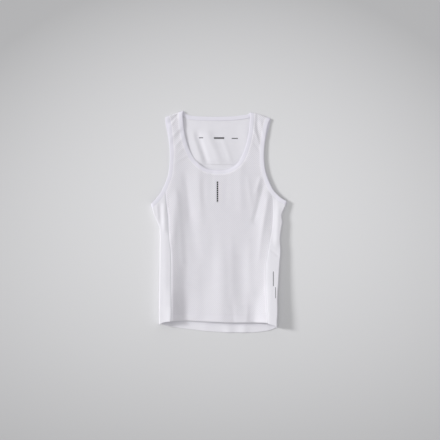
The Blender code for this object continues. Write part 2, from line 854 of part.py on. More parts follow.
def cut_side(name, sides):
    """A strip round one side, cut as if the front layer went on past the fold."""
    side = sides.side
    front_seam = [moved(point, across=side * GAP) for point in sides.seam_line(FRONT)]
    back_seam = [over_side(moved(point, across=side * GAP)) for point in sides.seam_line(BACK)]
    ring = sides.ring
    fold = ring.far_fold
    top = ring_edge(ring, sides.front_end + 1, fold)
    top += [over_side(point) for point in ring_edge(ring, fold + 1, sides.back_end - 1, BACK)]
    lower = side_hem(side, front_seam[0])
    outline = front_seam + top + list(reversed(back_seam)) + list(reversed(lower))
    inner = []
    for up in np.arange(lower[0][1] + 2 * HEM_DEPTH - SIDE_ROW, top[0][1], SIDE_ROW):
        line = side_line(up, side)
        inner.append((line, up))
        for inset in SIDE_ROWS:
            inner += [(line - inset * MM, up), (line + inset * MM, up)]
    for point in lower:
        for row in (-0.5, 0.5):
            inner.append((point[0], point[1] + HEM_DEPTH + row * CUFF_ROW))
    inner = thinned(inner, outline, RIM_CLEAR)
    if side == LEFT:
        outline.reverse()
    return add_panel(name, outline, FRONT, inner, "plain knit")


def side_hem(side, front_start):
    """The hem round one side fold, from the front seam to the back seam."""
    line = side_line(hem(side * HEM_CORNER_ACROSS * MM, FRONT), side)
    level = (abs(line - front_start[0]) + SIDE_ROWS[-4] * MM) / 2
    stops = [level] + [inset * MM for inset in SIDE_ROWS[-4:]]
    points = []
    for stop in stops:
        points.append(fold_hem(line - side * stop, side, FRONT))
    points.append(fold_hem(line, side, FRONT))
    for stop in reversed(stops):
        points.append(over_side(fold_hem(line - side * stop, side, BACK)))
    return points


def fold_hem(across, side, layer):
    x, _, _, _ = laid(across, hem(side * HEM_CORNER_ACROSS * MM, layer), layer)
    return np.array((across, hem(x, layer), layer))


def clear_scene():
    for item in list(bpy.data.objects):
        bpy.data.objects.remove(item, do_unlink=True)


def build():
    clear_scene()
    left = Sides(armhole(FRONT_ARMHOLE_LEFT, BACK_ARMHOLE_LEFT, LEFT), LEFT)
    right = Sides(armhole(FRONT_ARMHOLE_RIGHT, BACK_ARMHOLE_RIGHT, RIGHT), RIGHT)
    neck = neckline()
    cut_front(left, right, neck)
    cut_yoke(left, right, neck)
    cut_back(left, right)
    cut_side("side_panel_left", left)
    cut_side("side_panel_right", right)
    add_binding("neck_binding", neck)
    add_binding("armhole_binding_left", left.ring)
    add_binding("armhole_binding_right", right.ring)


build()
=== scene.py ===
# %% [markdown]
# # A sleeveless base layer, laid flat
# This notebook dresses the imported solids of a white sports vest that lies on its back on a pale
# floor. The solids already have the garment's main shape. Here every sheet of cloth is cut on one
# flat pattern and wrapped into nearly the same laid form, with finer folds and with heights that
# the light asked for. The lesson is how one flat pattern and one wrapping function can make
# eight sewn pieces that meet.

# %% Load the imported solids
import math

import bpy
import numpy as np
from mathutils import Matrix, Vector
from mathutils.geometry import delaunay_2d_cdt


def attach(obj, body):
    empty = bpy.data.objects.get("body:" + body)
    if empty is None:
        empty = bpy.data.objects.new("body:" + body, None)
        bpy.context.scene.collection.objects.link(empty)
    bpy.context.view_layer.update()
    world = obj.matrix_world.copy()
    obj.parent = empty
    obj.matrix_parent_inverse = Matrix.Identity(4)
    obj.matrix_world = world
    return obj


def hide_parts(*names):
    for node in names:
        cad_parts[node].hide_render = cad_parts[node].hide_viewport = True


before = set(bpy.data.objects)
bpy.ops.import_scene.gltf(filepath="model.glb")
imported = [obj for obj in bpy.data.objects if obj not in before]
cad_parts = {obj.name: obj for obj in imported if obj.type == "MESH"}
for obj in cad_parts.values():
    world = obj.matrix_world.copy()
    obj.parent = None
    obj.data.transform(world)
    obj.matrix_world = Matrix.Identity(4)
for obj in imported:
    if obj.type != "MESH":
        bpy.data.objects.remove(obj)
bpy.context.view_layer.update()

# %% [markdown]
# ## The garment's sizes
# All sizes below are in millimetres and become metres only when a mesh is made. Two directions
# run over the flat pattern, across and up, and a layer says front (1) or back (-1). The cloth
# rolls under at the side folds and over at the shoulders. A real maker has the same few lines on
# the pattern paper: side folds, shoulder lines, armholes, neckline, hems and seams.

# %% Sizes of cloth, hems and bindings
MM = 0.001
FRONT, BACK = 1, -1
LEFT, RIGHT = -1, 1
KNIT_WALL = 0.7          # one layer of plain knit
BINDING_CLOTH = 0.45     # the thinner cloth of the folded bindings
BINDING_WALL = 1.6       # a whole binding, folded
BINDING_WIDTH = 11.0     # and how wide it lies
BINDING_RISE = 0.3       # how far a binding stands above the cloth beside it
SEWN = 11.3              # from a binding's free edge to its seam
TUCK = 9.6               # cloth runs on inside the binding, to this far from the free edge
HEM_DEPTH = 24.0
HEM_ROLL = 1.0           # radius of the turn at a hem's edge
SIDE_ROLL = 3.5          # radius of the roll at a side fold
SHOULDER_ROLL = 4.5      # radius of the roll over a shoulder
EDGE_DIP = 0.5           # cut edges sink this far into a seam
EDGE_REACH = 1.7         # over this much cloth beside the edge
PROBE = 0.4              # half the span over which the cloth's slope is measured
REACH = 3                # ring points ahead and behind that give an edge its direction
MARCH = 8                # steps from a binding's free edge to its seam
PAST = 9                 # ring points past a fold, beyond which a panel's edge is cut off
print("bindings", BINDING_WIDTH, "mm wide, hems", HEM_DEPTH, "mm deep")

# %% Side folds and shoulder lines
SIDE_FOLDS = [  # up, left, right
    (-306.0, 174.6, 169.6), (-291.0, 174.4, 169.2), (-262.0, 174.6, 170.6),
    (-227.0, 174.0, 170.4), (-169.0, 173.2, 173.7), (-126.0, 172.6, 176.4),
    (-82.0, 172.4, 179.6), (-53.0, 172.0, 178.0), (-24.0, 172.6, 181.0),
    (-1.0, 179.8, 184.6), (17.0, 187.9, 182.6), (34.0, 193.4, 188.5),
    (50.0, 197.6, 195.4), (60.0, 198.0, 197.6), (330.0, 198.0, 198.0),
]
SHOULDERS = [  # across, up
    (-172.0, 298.4), (-155.4, 304.0), (-104.6, 322.1), (-84.0, 327.0), (70.0, 323.0),
    (91.2, 317.5), (108.0, 315.2), (149.4, 300.1), (168.0, 293.0),
]
print("rows of the side folds:", len(SIDE_FOLDS), "of the shoulders:", len(SHOULDERS))

# %% Armhole edges, front and back
FRONT_ARMHOLE_LEFT = [  # across, up
    (-155.4, 304.0), (-149.6, 282.0), (-146.2, 254.0), (-143.2, 219.0), (-142.3, 192.0),
    (-143.8, 164.0), (-146.6, 138.0), (-152.8, 119.0), (-163.3, 94.3), (-176.5, 73.0),
    (-197.4, 50.2),
]
BACK_ARMHOLE_LEFT = [  # across, up
    (-155.4, 304.0), (-155.0, 286.0), (-150.0, 262.0), (-144.6, 226.0), (-142.6, 192.0),
    (-143.8, 164.0), (-146.8, 138.0), (-153.0, 119.0), (-163.6, 94.3), (-176.8, 73.0),
    (-197.4, 50.2),
]
FRONT_ARMHOLE_RIGHT = [  # across, up
    (149.4, 300.1), (143.2, 287.5), (139.2, 272.0), (133.4, 237.0), (130.6, 208.0),
    (130.2, 179.0), (134.3, 147.0), (143.0, 121.0), (155.2, 95.0), (165.6, 82.0),
    (179.0, 69.6), (197.4, 58.4),
]
BACK_ARMHOLE_RIGHT = [  # across, up
    (149.4, 300.1), (148.6, 286.0), (143.4, 268.0), (134.6, 237.0), (130.8, 208.0),
    (131.2, 179.0), (135.3, 147.0), (144.0, 121.0), (156.0, 95.0), (166.2, 82.0),
    (179.4, 69.6), (197.4, 58.4),
]
print("rows of the armholes:", len(FRONT_ARMHOLE_LEFT), len(FRONT_ARMHOLE_RIGHT))

# %% Neckline, hems and seams
FRONT_NECK = [  # across, up
    (-104.6, 322.1), (-106.2, 308.0), (-103.4, 273.0), (-97.0, 240.0), (-85.4, 207.0),
    (-70.0, 181.0), (-42.0, 157.5), (-8.0, 149.6), (27.0, 153.6), (56.0, 172.6),
    (73.6, 206.0), (84.6, 246.0), (89.8, 284.0), (91.2, 317.5),
]
BACK_NECK = [  # across, up
    (-104.6, 322.1), (-92.0, 311.4), (-68.0, 306.4), (-12.0, 304.5), (39.0, 305.8),
    (67.0, 308.8), (85.0, 312.2), (91.2, 317.5),
]
FRONT_HEM = [  # across, up
    (-176.0, -297.0), (-154.0, -290.0), (-120.0, -287.4), (-12.0, -290.8), (61.0, -292.8),
    (128.0, -292.2), (152.0, -298.0), (178.0, -306.0),
]
BACK_HEM = [  # across, up
    (-176.0, -296.5), (-150.0, -302.5), (-122.0, -307.6), (-62.0, -315.4), (-20.0, -319.6),
    (41.0, -322.2), (90.0, -322.2), (140.0, -317.6), (178.0, -306.0),
]
SIDE_SEAMS = [  # up, left, right
    (-310.0, 137.6, 142.4), (-256.0, 136.8, 139.2), (-198.0, 138.0, 136.3),
    (-126.0, 138.4, 136.3), (-88.0, 139.4, 142.1), (-53.0, 144.0, 147.9),
    (-18.0, 146.2, 153.7), (28.0, 147.4, 156.8), (66.0, 149.4, 158.2), (92.0, 150.8, 158.4),
]
YOKE_SEAM_UP = 168.5     # the level seam between the lower back and the yoke
YOKE_RISE = 12.0         # the yoke's waves fade out over this far either side of that seam
YOKE_END_ACROSS = 140.0  # about where the seam meets the armhole bindings
SEAM_FOOT_UP = -300.0    # about where a side seam meets the hem
SEAM_HEAD_UP = 85.0      # and where it meets the armhole binding
print("rows of the neckline:", len(FRONT_NECK) + len(BACK_NECK), "of the side seams:", len(SIDE_SEAMS))

# %% [markdown]
# ## How high the cloth lies
# The front lies loosely on the back. Its sides stand proud, most at the lower right, and the
# middle settles. Sections give the broad form, and each fold is one row: a soft ridge or trough
# along a line, with how far it reaches to either side and how high it rises. The sections and the
# main folds follow those of the solids and differ from them by a few millimetres, where the light
# showed that the cloth lies lower or higher. The creases and the back hem's waves are the
# cloth's alone.

# %% Sections and main folds
ACROSS = (-146.0, -88.0, 5.0, 86.0, 152.0)
SECTIONS = [  # up, left side, left hollow, middle, right hollow, right side
    (-310.0, 24.0, 9.5, 13.0, 14.0, 28.5), (-235.0, 24.0, 9.5, 12.5, 13.0, 26.0),
    (-170.0, 23.0, 10.0, 12.0, 13.0, 22.5), (-110.0, 20.0, 10.5, 12.0, 12.5, 19.5),
    (-50.0, 17.5, 10.5, 12.0, 12.0, 17.0), (20.0, 15.5, 10.0, 11.5, 11.0, 14.0),
    (60.0, 12.0, 9.0, 10.5, 10.5, 11.0), (95.0, 10.5, 8.0, 9.5, 10.0, 9.0),
    (150.0, 8.6, 6.6, 7.6, 8.2, 8.4), (200.0, 7.4, 5.8, 6.4, 7.0, 7.2),
    (260.0, 7.0, 7.0, 7.0, 7.0, 6.8), (330.0, 6.4, 6.8, 6.8, 6.4, 5.4),
]
FRONT_FOLDS = [  # from across, up, to across, up, reach, rise
    (-126.0, 78.0, -130.0, -40.0, 11.0, 2.3), (-96.0, 120.0, -84.0, 20.0, 11.0, -2.2),
    (-84.0, 20.0, -68.0, -90.0, 15.0, -1.6), (-60.0, 150.0, -54.0, 15.0, 14.0, 1.8),
    (-46.0, 110.0, -44.0, 62.0, 9.0, -1.0), (9.0, -115.0, 9.0, -310.0, 21.0, 2.6),
    (-38.0, -130.0, -48.0, -285.0, 18.0, -1.6), (62.0, -105.0, 68.0, -230.0, 17.0, -2.4),
    (119.0, -205.0, 104.0, -300.0, 16.0, -3.2), (61.0, 158.0, 63.0, 50.0, 14.0, 1.4),
    (127.0, 96.0, 104.0, 8.0, 8.0, -2.3), (141.0, 66.0, 127.0, -12.0, 9.0, 2.7),
    (159.0, 62.0, 153.0, -45.0, 8.0, -1.5), (172.0, 30.0, 167.0, -60.0, 8.0, 1.4),
    (-159.0, 42.0, -158.0, -20.0, 5.5, 1.4), (-171.0, 46.0, -168.0, 0.0, 5.5, -1.2),
    (-148.0, 62.0, -143.0, -25.0, 7.0, -1.4), (-149.0, 285.0, -118.0, 312.0, 6.0, -0.9),
    (-136.0, 226.0, -112.0, 262.0, 8.0, -0.9), (108.0, 286.0, 124.0, 240.0, 8.0, -0.9),
]
print("sections:", len(SECTIONS), "main folds:", len(FRONT_FOLDS))

# %% Creases, and the waves of yoke and back hem
FRONT_CREASES = [  # from across, up, to across, up, reach, rise
    (-140.0, 290.0, -121.0, 309.0, 3.2, -0.8), (-131.0, 281.0, -121.0, 299.0, 3.0, -0.7),
    (-142.0, 276.0, -128.0, 292.0, 3.4, 0.5), (-137.0, 246.0, -118.0, 268.0, 4.0, 0.5),
    (109.0, 284.0, 118.0, 232.0, 3.6, -0.7), (101.0, 232.0, 116.0, 208.0, 4.0, -0.6),
    (122.0, 288.0, 128.0, 250.0, 4.0, 0.5), (112.0, 312.0, 112.0, 276.0, 5.0, -0.9),
    (151.0, -82.0, 171.0, -99.0, 4.0, -0.9),
    (-20.0, 138.0, -24.0, 70.0, 8.0, -0.6), (24.0, 140.0, 20.0, 60.0, 9.0, -0.5),
    (84.0, 120.0, 92.0, 60.0, 8.0, 0.8), (-110.0, -20.0, -100.0, -160.0, 10.0, -0.7),
    (-16.0, -40.0, -20.0, -190.0, 12.0, -0.7), (36.0, -60.0, 38.0, -200.0, 10.0, 0.7),
    (88.0, -60.0, 90.0, -190.0, 10.0, 0.8), (-92.0, -190.0, -96.0, -286.0, 9.0, 0.8),
    (-120.0, -230.0, -112.0, -286.0, 6.0, -0.7), (40.0, -250.0, 44.0, -292.0, 7.0, -0.8),
    (84.0, -252.0, 80.0, -292.0, 7.0, 0.7), (-140.0, -266.0, -140.0, -300.0, 11.0, 2.0),
    (-119.0, 68.0, -104.4, -117.0, 9.0, 1.7), (-139.0, -215.0, -139.0, -300.0, 12.0, 2.2),
    (-95.0, -225.0, -97.0, -300.0, 15.0, -3.0), (-76.0, -235.0, -76.0, -300.0, 16.0, -2.0),
    (-180.0, 0.0, -180.0, -310.0, 14.0, -2.0), (-154.0, 0.0, -154.0, -290.0, 6.0, 0.5),
    (-100.0, -266.0, -102.0, -300.0, 13.0, -2.0), (96.0, -248.0, 100.0, -300.0, 20.0, -2.5),
    (-64.0, 178.0, -20.0, 150.0, 12.0, -2.0),
    (14.0, 149.0, 62.0, 182.0, 12.0, -2.0), (-100.0, 262.0, -82.0, 204.0, 10.0, -1.5),
    (124.0, -32.0, 116.0, -100.0, 8.0, 1.2), (118.0, 122.0, 109.0, 92.0, 6.0, 1.4),
    (-179.0, 42.0, -176.0, 12.0, 4.0, 0.8), (-125.6, 255.0, -111.0, 269.7, 4.5, 0.9),
    (-122.7, 223.3, -108.2, 240.7, 4.5, 0.9), (-117.0, 200.0, -99.5, 217.5, 4.5, 0.9),
    (-122.7, 174.0, -94.0, 191.4, 4.5, 0.9), (104.4, 260.0, 116.0, 234.0, 4.5, 0.8),
]
YOKE_FOLDS = [  # from across, up, to across, up, reach, rise
    (-76.0, 262.0, -52.0, 174.0, 7.0, 0.6), (-60.0, 245.0, -35.0, 172.0, 8.0, -3.6),
    (-31.0, 250.0, 0.0, 174.0, 11.0, 1.9), (12.0, 240.0, 33.0, 178.0, 6.0, 0.8),
    (80.0, 250.0, 86.0, 180.0, 20.0, 2.0), (-45.0, 215.0, -45.0, 190.0, 42.0, 3.4),
    (25.0, 215.0, 25.0, 190.0, 42.0, 2.4),
]
BACK_HEM_FOLDS = [  # from across, up, to across, up, reach, rise
    (-36.0, -300.0, -38.0, -330.0, 10.0, 1.0), (28.0, -304.0, 30.0, -332.0, 12.0, 2.0),
    (74.0, -304.0, 70.0, -332.0, 12.0, 2.2),
]
print("creases:", len(FRONT_CREASES), "waves:", len(YOKE_FOLDS) + len(BACK_HEM_FOLDS))

# %% [markdown]
# ## Reading a table smoothly
# A table has only a few rows, so a curve has to run through them without overshooting. Each
# row's slope is the harmonic mean of the slopes beside it, and nought at a crest or a hollow.
# The same rule made the solids, so cloth and solid run alike between the rows.

# %% A curve through a few rows
def slopes(keys, values):
    rise = np.diff(values, axis=-1) / np.diff(keys)
    before, after = rise[..., :-1], rise[..., 1:]
    same_way = before * after > 0
    middle = np.where(same_way, 2 * before * after / np.where(same_way, before + after, 1), 0.0)
    flat_end = np.zeros(values.shape[:-1] + (1,))
    return np.concatenate([flat_end, middle, flat_end], axis=-1)


def curve(keys, values, at):
    """Values on the smooth curve; values may hold one row of numbers for each place."""
    keys, values = np.asarray(keys, float), np.asarray(values, float)
    at = np.clip(at, keys[0], keys[-1])
    low = np.clip(np.searchsorted(keys, at) - 1, 0, len(keys) - 2)

    def pick(table, row):
        if table.ndim == 1:
            return table[row]
        return np.take_along_axis(table, row[:, None], axis=1)[:, 0]

    slope = slopes(keys, values)
    span = keys[low + 1] - keys[low]
    rise = (pick(values, low + 1) - pick(values, low)) / span
    part = (at - keys[low]) / span
    bend = (pick(slope, low) - rise) * (1 - part) - (pick(slope, low + 1) - rise) * part
    return pick(values, low) + span * part * (rise + (1 - part) * bend)


def read(table, at, column):
    return curve([row[0] for row in table], [row[column] for row in table], at)


print("side fold at the hem:", read(SIDE_FOLDS, np.array([-300.0]), 1))

# %% The laid form: folds, front and back
def side_fold(up, side):
    return np.where(side < 0, -read(SIDE_FOLDS, up, 1), read(SIDE_FOLDS, up, 2))


def shoulder(across):
    return read(SHOULDERS, across, 1)


def hem(across, layer):
    return np.where(layer > 0, read(FRONT_HEM, across, 1), read(BACK_HEM, across, 1))


def fold_height(table, x, y):
    total = np.zeros(len(x))
    for x0, y0, x1, y1, reach, rise in table:
        run_x, run_y = x1 - x0, y1 - y0
        length = math.hypot(run_x, run_y)
        along = ((x - x0) * run_x + (y - y0) * run_y) / length
        off = ((x - x0) * run_y - (y - y0) * run_x) / length
        over = np.maximum(0.0, np.maximum(-along, along - length))
        total += rise * np.exp(-(off / reach) ** 2 - (over / (1.6 * reach)) ** 2)
    return total


def front_top(x, y):
    keys = [row[0] for row in SECTIONS]
    levels = [curve(keys, [row[column] for row in SECTIONS], y) for column in range(1, 6)]
    broad = curve(ACROSS, np.stack(levels, axis=1), x)
    return broad + fold_height(FRONT_FOLDS + FRONT_CREASES, x, y)


def back_lift(x, y):
    fade = np.clip((y - YOKE_SEAM_UP) / YOKE_RISE + 1, 0, 2) / 2
    at_hem = np.clip((-284.0 - y) / 14.0, 0, 1) * fold_height(BACK_HEM_FOLDS, x, y)
    return fade * np.maximum(0, fold_height(YOKE_FOLDS, x, y) - 0.1) + at_hem


print("front height at the middle:", front_top(np.array([0.0]), np.array([0.0])))

# %% [markdown]
# ## Wrapping the flat pattern
# Where cloth rolls round a fold, a length along the cloth becomes an angle on a quarter circle.
# A point past a fold line lands on the other layer, so one flat shape can go round a side. From
# the wrapped surface come the two directions of the cloth and the way out of the garment.

# %% From the flat pattern to the laid garment
def rolled(along, roll):
    angle = np.clip(along / roll, 0, math.pi / 2)
    level = roll + along - roll * math.pi / 2
    return np.where(along >= roll * math.pi / 2, level, roll * (1 - np.cos(angle))), np.sin(angle)


def unrolled(inset, roll):
    turned = roll * np.arccos(1 - np.clip(inset, 0, roll) / roll)
    return np.where(inset >= roll, roll * math.pi / 2 + inset - roll, turned)


def slack(roll):
    return roll * (math.pi / 2 - 1)


def laid(points):
    """Place seen from above, layer, and how far out of the rolled folds each point is."""
    across, up, layer = points.T
    side = np.where(across < 0, LEFT, RIGHT)
    along = side * (side_fold(up, side) - across) + slack(SIDE_ROLL)
    layer = np.where(along < 0, -layer, layer)
    inset, out_side = rolled(np.abs(along), SIDE_ROLL)
    x = side_fold(up, side) - side * inset
    along = shoulder(x) + slack(SHOULDER_ROLL) - up
    layer = np.where(along < 0, -layer, layer)
    inset, out_top = rolled(np.abs(along), SHOULDER_ROLL)
    return x, shoulder(x) - inset, layer, out_side * out_top


def surface(points):
    """The cloth's outer face."""
    x, y, layer, out = laid(points)
    top = front_top(x, y)
    under = top / 2 * (1 - out) + back_lift(x, y) * out
    return np.stack([x, y, np.where(layer > 0, top / 2 * (1 + out), under)], axis=1)


def directions(points):
    along = surface(points + (PROBE, 0, 0)) - surface(points - (PROBE, 0, 0))
    upward = surface(points + (0, PROBE, 0)) - surface(points - (0, PROBE, 0))
    return along / (2 * PROBE), upward / (2 * PROBE)


def unit(vectors):
    return vectors / np.linalg.norm(vectors, axis=1, keepdims=True)


def outward(points):
    along, upward = directions(points)
    return unit(np.cross(along, upward) * points[:, 2:])


def pattern(path, layer):
    """Places seen from above, written as points on the flat pattern."""
    x, y = path.T
    side = np.where(x < 0, LEFT, RIGHT)
    fold = side_fold(y, side)
    across = fold + side * (slack(SIDE_ROLL) - unrolled(side * (fold - x), SIDE_ROLL))
    up = shoulder(x) + slack(SHOULDER_ROLL) - unrolled(shoulder(x) - y, SHOULDER_ROLL)
    return np.stack([across, up, np.full(len(x), float(layer))], axis=1)


print("a side point lies at", surface(np.array([[170.0, 0.0, 1.0]])))

# %% [markdown]
# ## Free edges and the bindings' paths
# A folded binding runs round the neck and each armhole as one closed ring. Its free edge is a
# smooth curve on the pattern. From each of its points a path marches square to the edge over
# the laid cloth, so the band keeps its width round every bend, as a real tape does.

# %% Smooth edges
def smooth_path(points, parts=24):
    points = [np.array(point) for point in points]
    ends = [2 * points[0] - points[1]] + points + [2 * points[-1] - points[-2]]
    path = []
    for a, b, c, d in zip(ends, ends[1:], ends[2:], ends[3:]):
        for t in np.arange(parts) / parts:
            inner = 2 * b + (c - a) * t
            outer = (2 * a - 5 * b + 4 * c - d) * t**2 + (3 * b - a - 3 * c + d) * t**3
            path.append(0.5 * (inner + outer))
    path.append(points[-1])
    return np.array(path)


def lengths_along(path):
    """How far along a path each of its points lies."""
    runs = np.linalg.norm(np.diff(path, axis=0), axis=1)
    return np.concatenate([[0], np.cumsum(runs)])


def read_off(values, lengths, at):
    """Values at chosen lengths along a path."""
    return np.stack([np.interp(at, lengths, column) for column in values.T], axis=1)


def spaced(path, first_step, last_step, widest=4.0):
    """Points along a path, closer together near an end that meets a fold."""
    lengths = lengths_along(path[:, :2])
    marks = [0.0]
    while marks[-1] < lengths[-1]:
        gone = marks[-1]
        ahead = lengths[-1] - gone
        marks.append(gone + min(widest, first_step + 0.2 * gone, last_step + 0.2 * ahead))
    return read_off(path, lengths, np.array(marks) * lengths[-1] / marks[-1])


print("points on the neck's front edge:", len(smooth_path(FRONT_NECK)))


# %% The lines where the pattern turns over
def shoulder_line(across):
    return shoulder(across) + slack(SHOULDER_ROLL)


def side_line(up, side):
    return side_fold(up, side) + side * slack(SIDE_ROLL)


def over_shoulder(points):
    across, up, layer = points.T
    return np.stack([across, 2 * shoulder_line(across) - up, -layer], axis=1)


def over_side(points):
    across, up, layer = points.T
    side = np.where(across < 0, LEFT, RIGHT)
    return np.stack([2 * side_line(up, side) - across, up, -layer], axis=1)


# %% A binding's ring
class Ring:
    def __init__(self, front_table, back_table, turn, far_fold):
        front = spaced(pattern(smooth_path(front_table), FRONT), 1.5, 1.5)
        back = spaced(pattern(smooth_path(back_table), BACK), 1.5, 1.5)
        front[0, 1] = shoulder_line(front[:1, 0])[0]
        if far_fold == "shoulder":
            front[-1, 1] = shoulder_line(front[-1:, 0])[0]
        else:
            side = np.sign(front[-1:, 0])
            front[-1, 0] = side_line(front[-1:, 1], side)[0]
        self.points = np.concatenate([front, back[-2:0:-1]])
        self.far = len(front) - 1
        self.paths = self.march(turn)

    def march(self, turn):
        ahead = surface(np.roll(self.points, -REACH, axis=0))
        behind = surface(np.roll(self.points, REACH, axis=0))
        square = np.cross(ahead - behind, outward(self.points)) * turn
        paths = [self.points]
        for _ in range(MARCH):
            here = paths[-1]
            along, upward = directions(here)
            normal = outward(here)
            square = unit(square - normal * (square * normal).sum(axis=1, keepdims=True))
            aa, bb, ab = (along * along).sum(1), (upward * upward).sum(1), (along * upward).sum(1)
            sa, sb = (square * along).sum(1), (square * upward).sum(1)
            spread = aa * bb - ab * ab
            step = np.stack([(sa * bb - sb * ab) / spread, (sb * aa - sa * ab) / spread, 0 * aa], axis=1)
            paths.append(here + step * SEWN / MARCH)
        return np.stack(paths, axis=1)

    def band(self, inset):
        """Pattern points so far in from the free edge, all round."""
        place = min(max(inset, 0.0) / SEWN * MARCH, MARCH - 0.001)
        step = int(place)
        return self.paths[:, step] + (self.paths[:, step + 1] - self.paths[:, step]) * (place - step)

    def nearest(self, across, up, layer):
        edge = self.band(SEWN)
        gap = np.hypot(edge[:, 0] - across, edge[:, 1] - up)
        return int(np.where(self.points[:, 2] == layer, gap, gap + 1000).argmin())


left_ring = Ring(FRONT_ARMHOLE_LEFT, BACK_ARMHOLE_LEFT, LEFT, "side")
right_ring = Ring(FRONT_ARMHOLE_RIGHT, BACK_ARMHOLE_RIGHT, RIGHT, "side")
neck_ring = Ring(FRONT_NECK, BACK_NECK, RIGHT, "shoulder")
print("ring points:", len(left_ring.points), len(right_ring.points), len(neck_ring.points))

# %% [markdown]
# ## Seams and cut edges
# The front and the back are joined to a plain strip down each side. Each seam is one line that
# both neighbours share, and near an armhole it eases towards the binding. Every panel is cut
# long enough to turn its hem up once, 24 mm, so the cut goes on below the hem's edge.

# %% Seam lines shared by neighbouring pieces
def turned_length():
    return HEM_DEPTH + slack(HEM_ROLL)


class SideSeams:
    def __init__(self, ring, side):
        self.ring, self.side = ring, side
        head = self.seam(np.array([SEAM_HEAD_UP]))[0]
        self.front_end = ring.nearest(head, SEAM_HEAD_UP, FRONT)
        self.back_end = ring.nearest(head, SEAM_HEAD_UP, BACK)
        self.yoke_end = ring.nearest(side * YOKE_END_ACROSS, YOKE_SEAM_UP, BACK)

    def seam(self, up):
        return self.side * read(SIDE_SEAMS, up, 1 if self.side == LEFT else 2)

    def line(self, layer, step=5.0):
        """From the turned hem's cut edge up to the armhole's binding."""
        end = self.ring.band(TUCK)[self.front_end if layer == FRONT else self.back_end]
        foot = float(hem(self.seam(np.array([SEAM_FOOT_UP])), np.array([layer]))[0])
        turned = foot - turned_length() * np.array([1.0, 0.8, 0.6, 0.4, 0.25, 0.14, 0.08, 0.04])
        count = round((end[1] - foot) / step)
        rising = foot + (end[1] - foot) * np.arange(count + 1) / count
        ease = np.clip(((rising - foot) / (end[1] - foot) - 0.8) / 0.2, 0, 1)
        across = self.seam(rising) * (1 - ease) + end[0] * ease
        across = np.concatenate([self.seam(2 * foot - turned), across])
        up = np.concatenate([turned, rising])
        line = np.stack([across, up, np.full(len(up), float(layer))], axis=1)
        line[-1] = end
        return line


left, right = SideSeams(left_ring, LEFT), SideSeams(right_ring, RIGHT)
print("a front seam has", len(left.line(FRONT)), "points")


# %% Edges that close an outline
def ring_edge(ring, first, last, layer=FRONT):
    """One layer's edge inside a binding, cut off at the shoulder line."""
    step = 1 if last > first else -1
    points = ring.band(TUCK)[np.arange(first, last + step, step) % len(ring.points)]
    points = np.where(points[:, 2:] == layer, points, over_shoulder(points))
    short = shoulder_line(points[:, 0]) - points[:, 1]
    edge = []
    for place in range(len(points)):
        if short[place] > 0:
            edge.append(points[place])
        if place + 1 < len(points) and (short[place] > 0) != (short[place + 1] > 0):
            share = short[place] / (short[place] - short[place + 1])
            edge.append(points[place] + (points[place + 1] - points[place]) * share)
    return np.array(edge)


def strap_end(first, last, layer, step=3.0):
    count = max(3, round(abs(last[0] - first[0]) / step))
    across = first[0] + (last[0] - first[0]) * np.arange(1, count) / count
    return np.stack([across, shoulder_line(across), np.full(len(across), float(layer))], axis=1)


def cut_line(low, high, layer, step=3.0):
    """The cut edge of a turned hem, from seam to seam."""
    across = np.linspace(low, high, round((high - low) / step) + 1)[1:-1]
    level = hem(across, np.full(len(across), layer)) - turned_length()
    return np.stack([across, level, np.full(len(across), float(layer))], axis=1)


def joined(*edges):
    """One closed outline, without the points that two edges share."""
    path = np.concatenate(edges)[:, :2]
    far = np.linalg.norm(path - np.roll(path, 1, axis=0), axis=1) > 0.05
    return path[far]


# %% Outlines of front, yoke and lower back
def front_outline():
    left_seam, right_seam = left.line(FRONT), right.line(FRONT)
    right_arm = ring_edge(right_ring, right.front_end - 1, -PAST)
    neck = ring_edge(neck_ring, neck_ring.far + PAST, -PAST)
    left_arm = ring_edge(left_ring, -PAST, left.front_end - 1)
    return joined(
        cut_line(left_seam[0, 0], right_seam[0, 0], FRONT), right_seam, right_arm,
        strap_end(right_arm[-1], neck[0], FRONT), neck, strap_end(neck[-1], left_arm[0], FRONT),
        left_arm, left_seam[::-1])


def yoke_line():
    first, last = left_ring.band(TUCK)[left.yoke_end], right_ring.band(TUCK)[right.yoke_end]
    share = np.linspace(0, 1, round((last[0] - first[0]) / 4.0))[:, None]
    return first + (last - first) * share


def yoke_outline():
    right_arm = ring_edge(right_ring, right.yoke_end + 1, len(right_ring.points) + PAST, BACK)
    neck = ring_edge(neck_ring, neck_ring.far - PAST, len(neck_ring.points) + PAST, BACK)
    left_arm = ring_edge(left_ring, len(left_ring.points) + PAST, left.yoke_end + 1, BACK)
    return joined(
        yoke_line(), right_arm, strap_end(right_arm[-1], neck[0], BACK), neck,
        strap_end(neck[-1], left_arm[0], BACK), left_arm)


def back_outline():
    left_seam, right_seam = left.line(BACK), right.line(BACK)
    return joined(
        cut_line(left_seam[0, 0], right_seam[0, 0], BACK), right_seam,
        ring_edge(right_ring, right.back_end + 1, right.yoke_end - 1, BACK), yoke_line()[::-1],
        ring_edge(left_ring, left.yoke_end - 1, left.back_end + 1, BACK), left_seam[::-1])


# %% Outlines of the side strips, and all five cut
def hem_level(points):
    """Where the hem's edge lies below each pattern point."""
    low = points.copy()
    low[:, 1] = SEAM_FOOT_UP
    x, _, layer, _ = laid(low)
    return hem(x, layer)


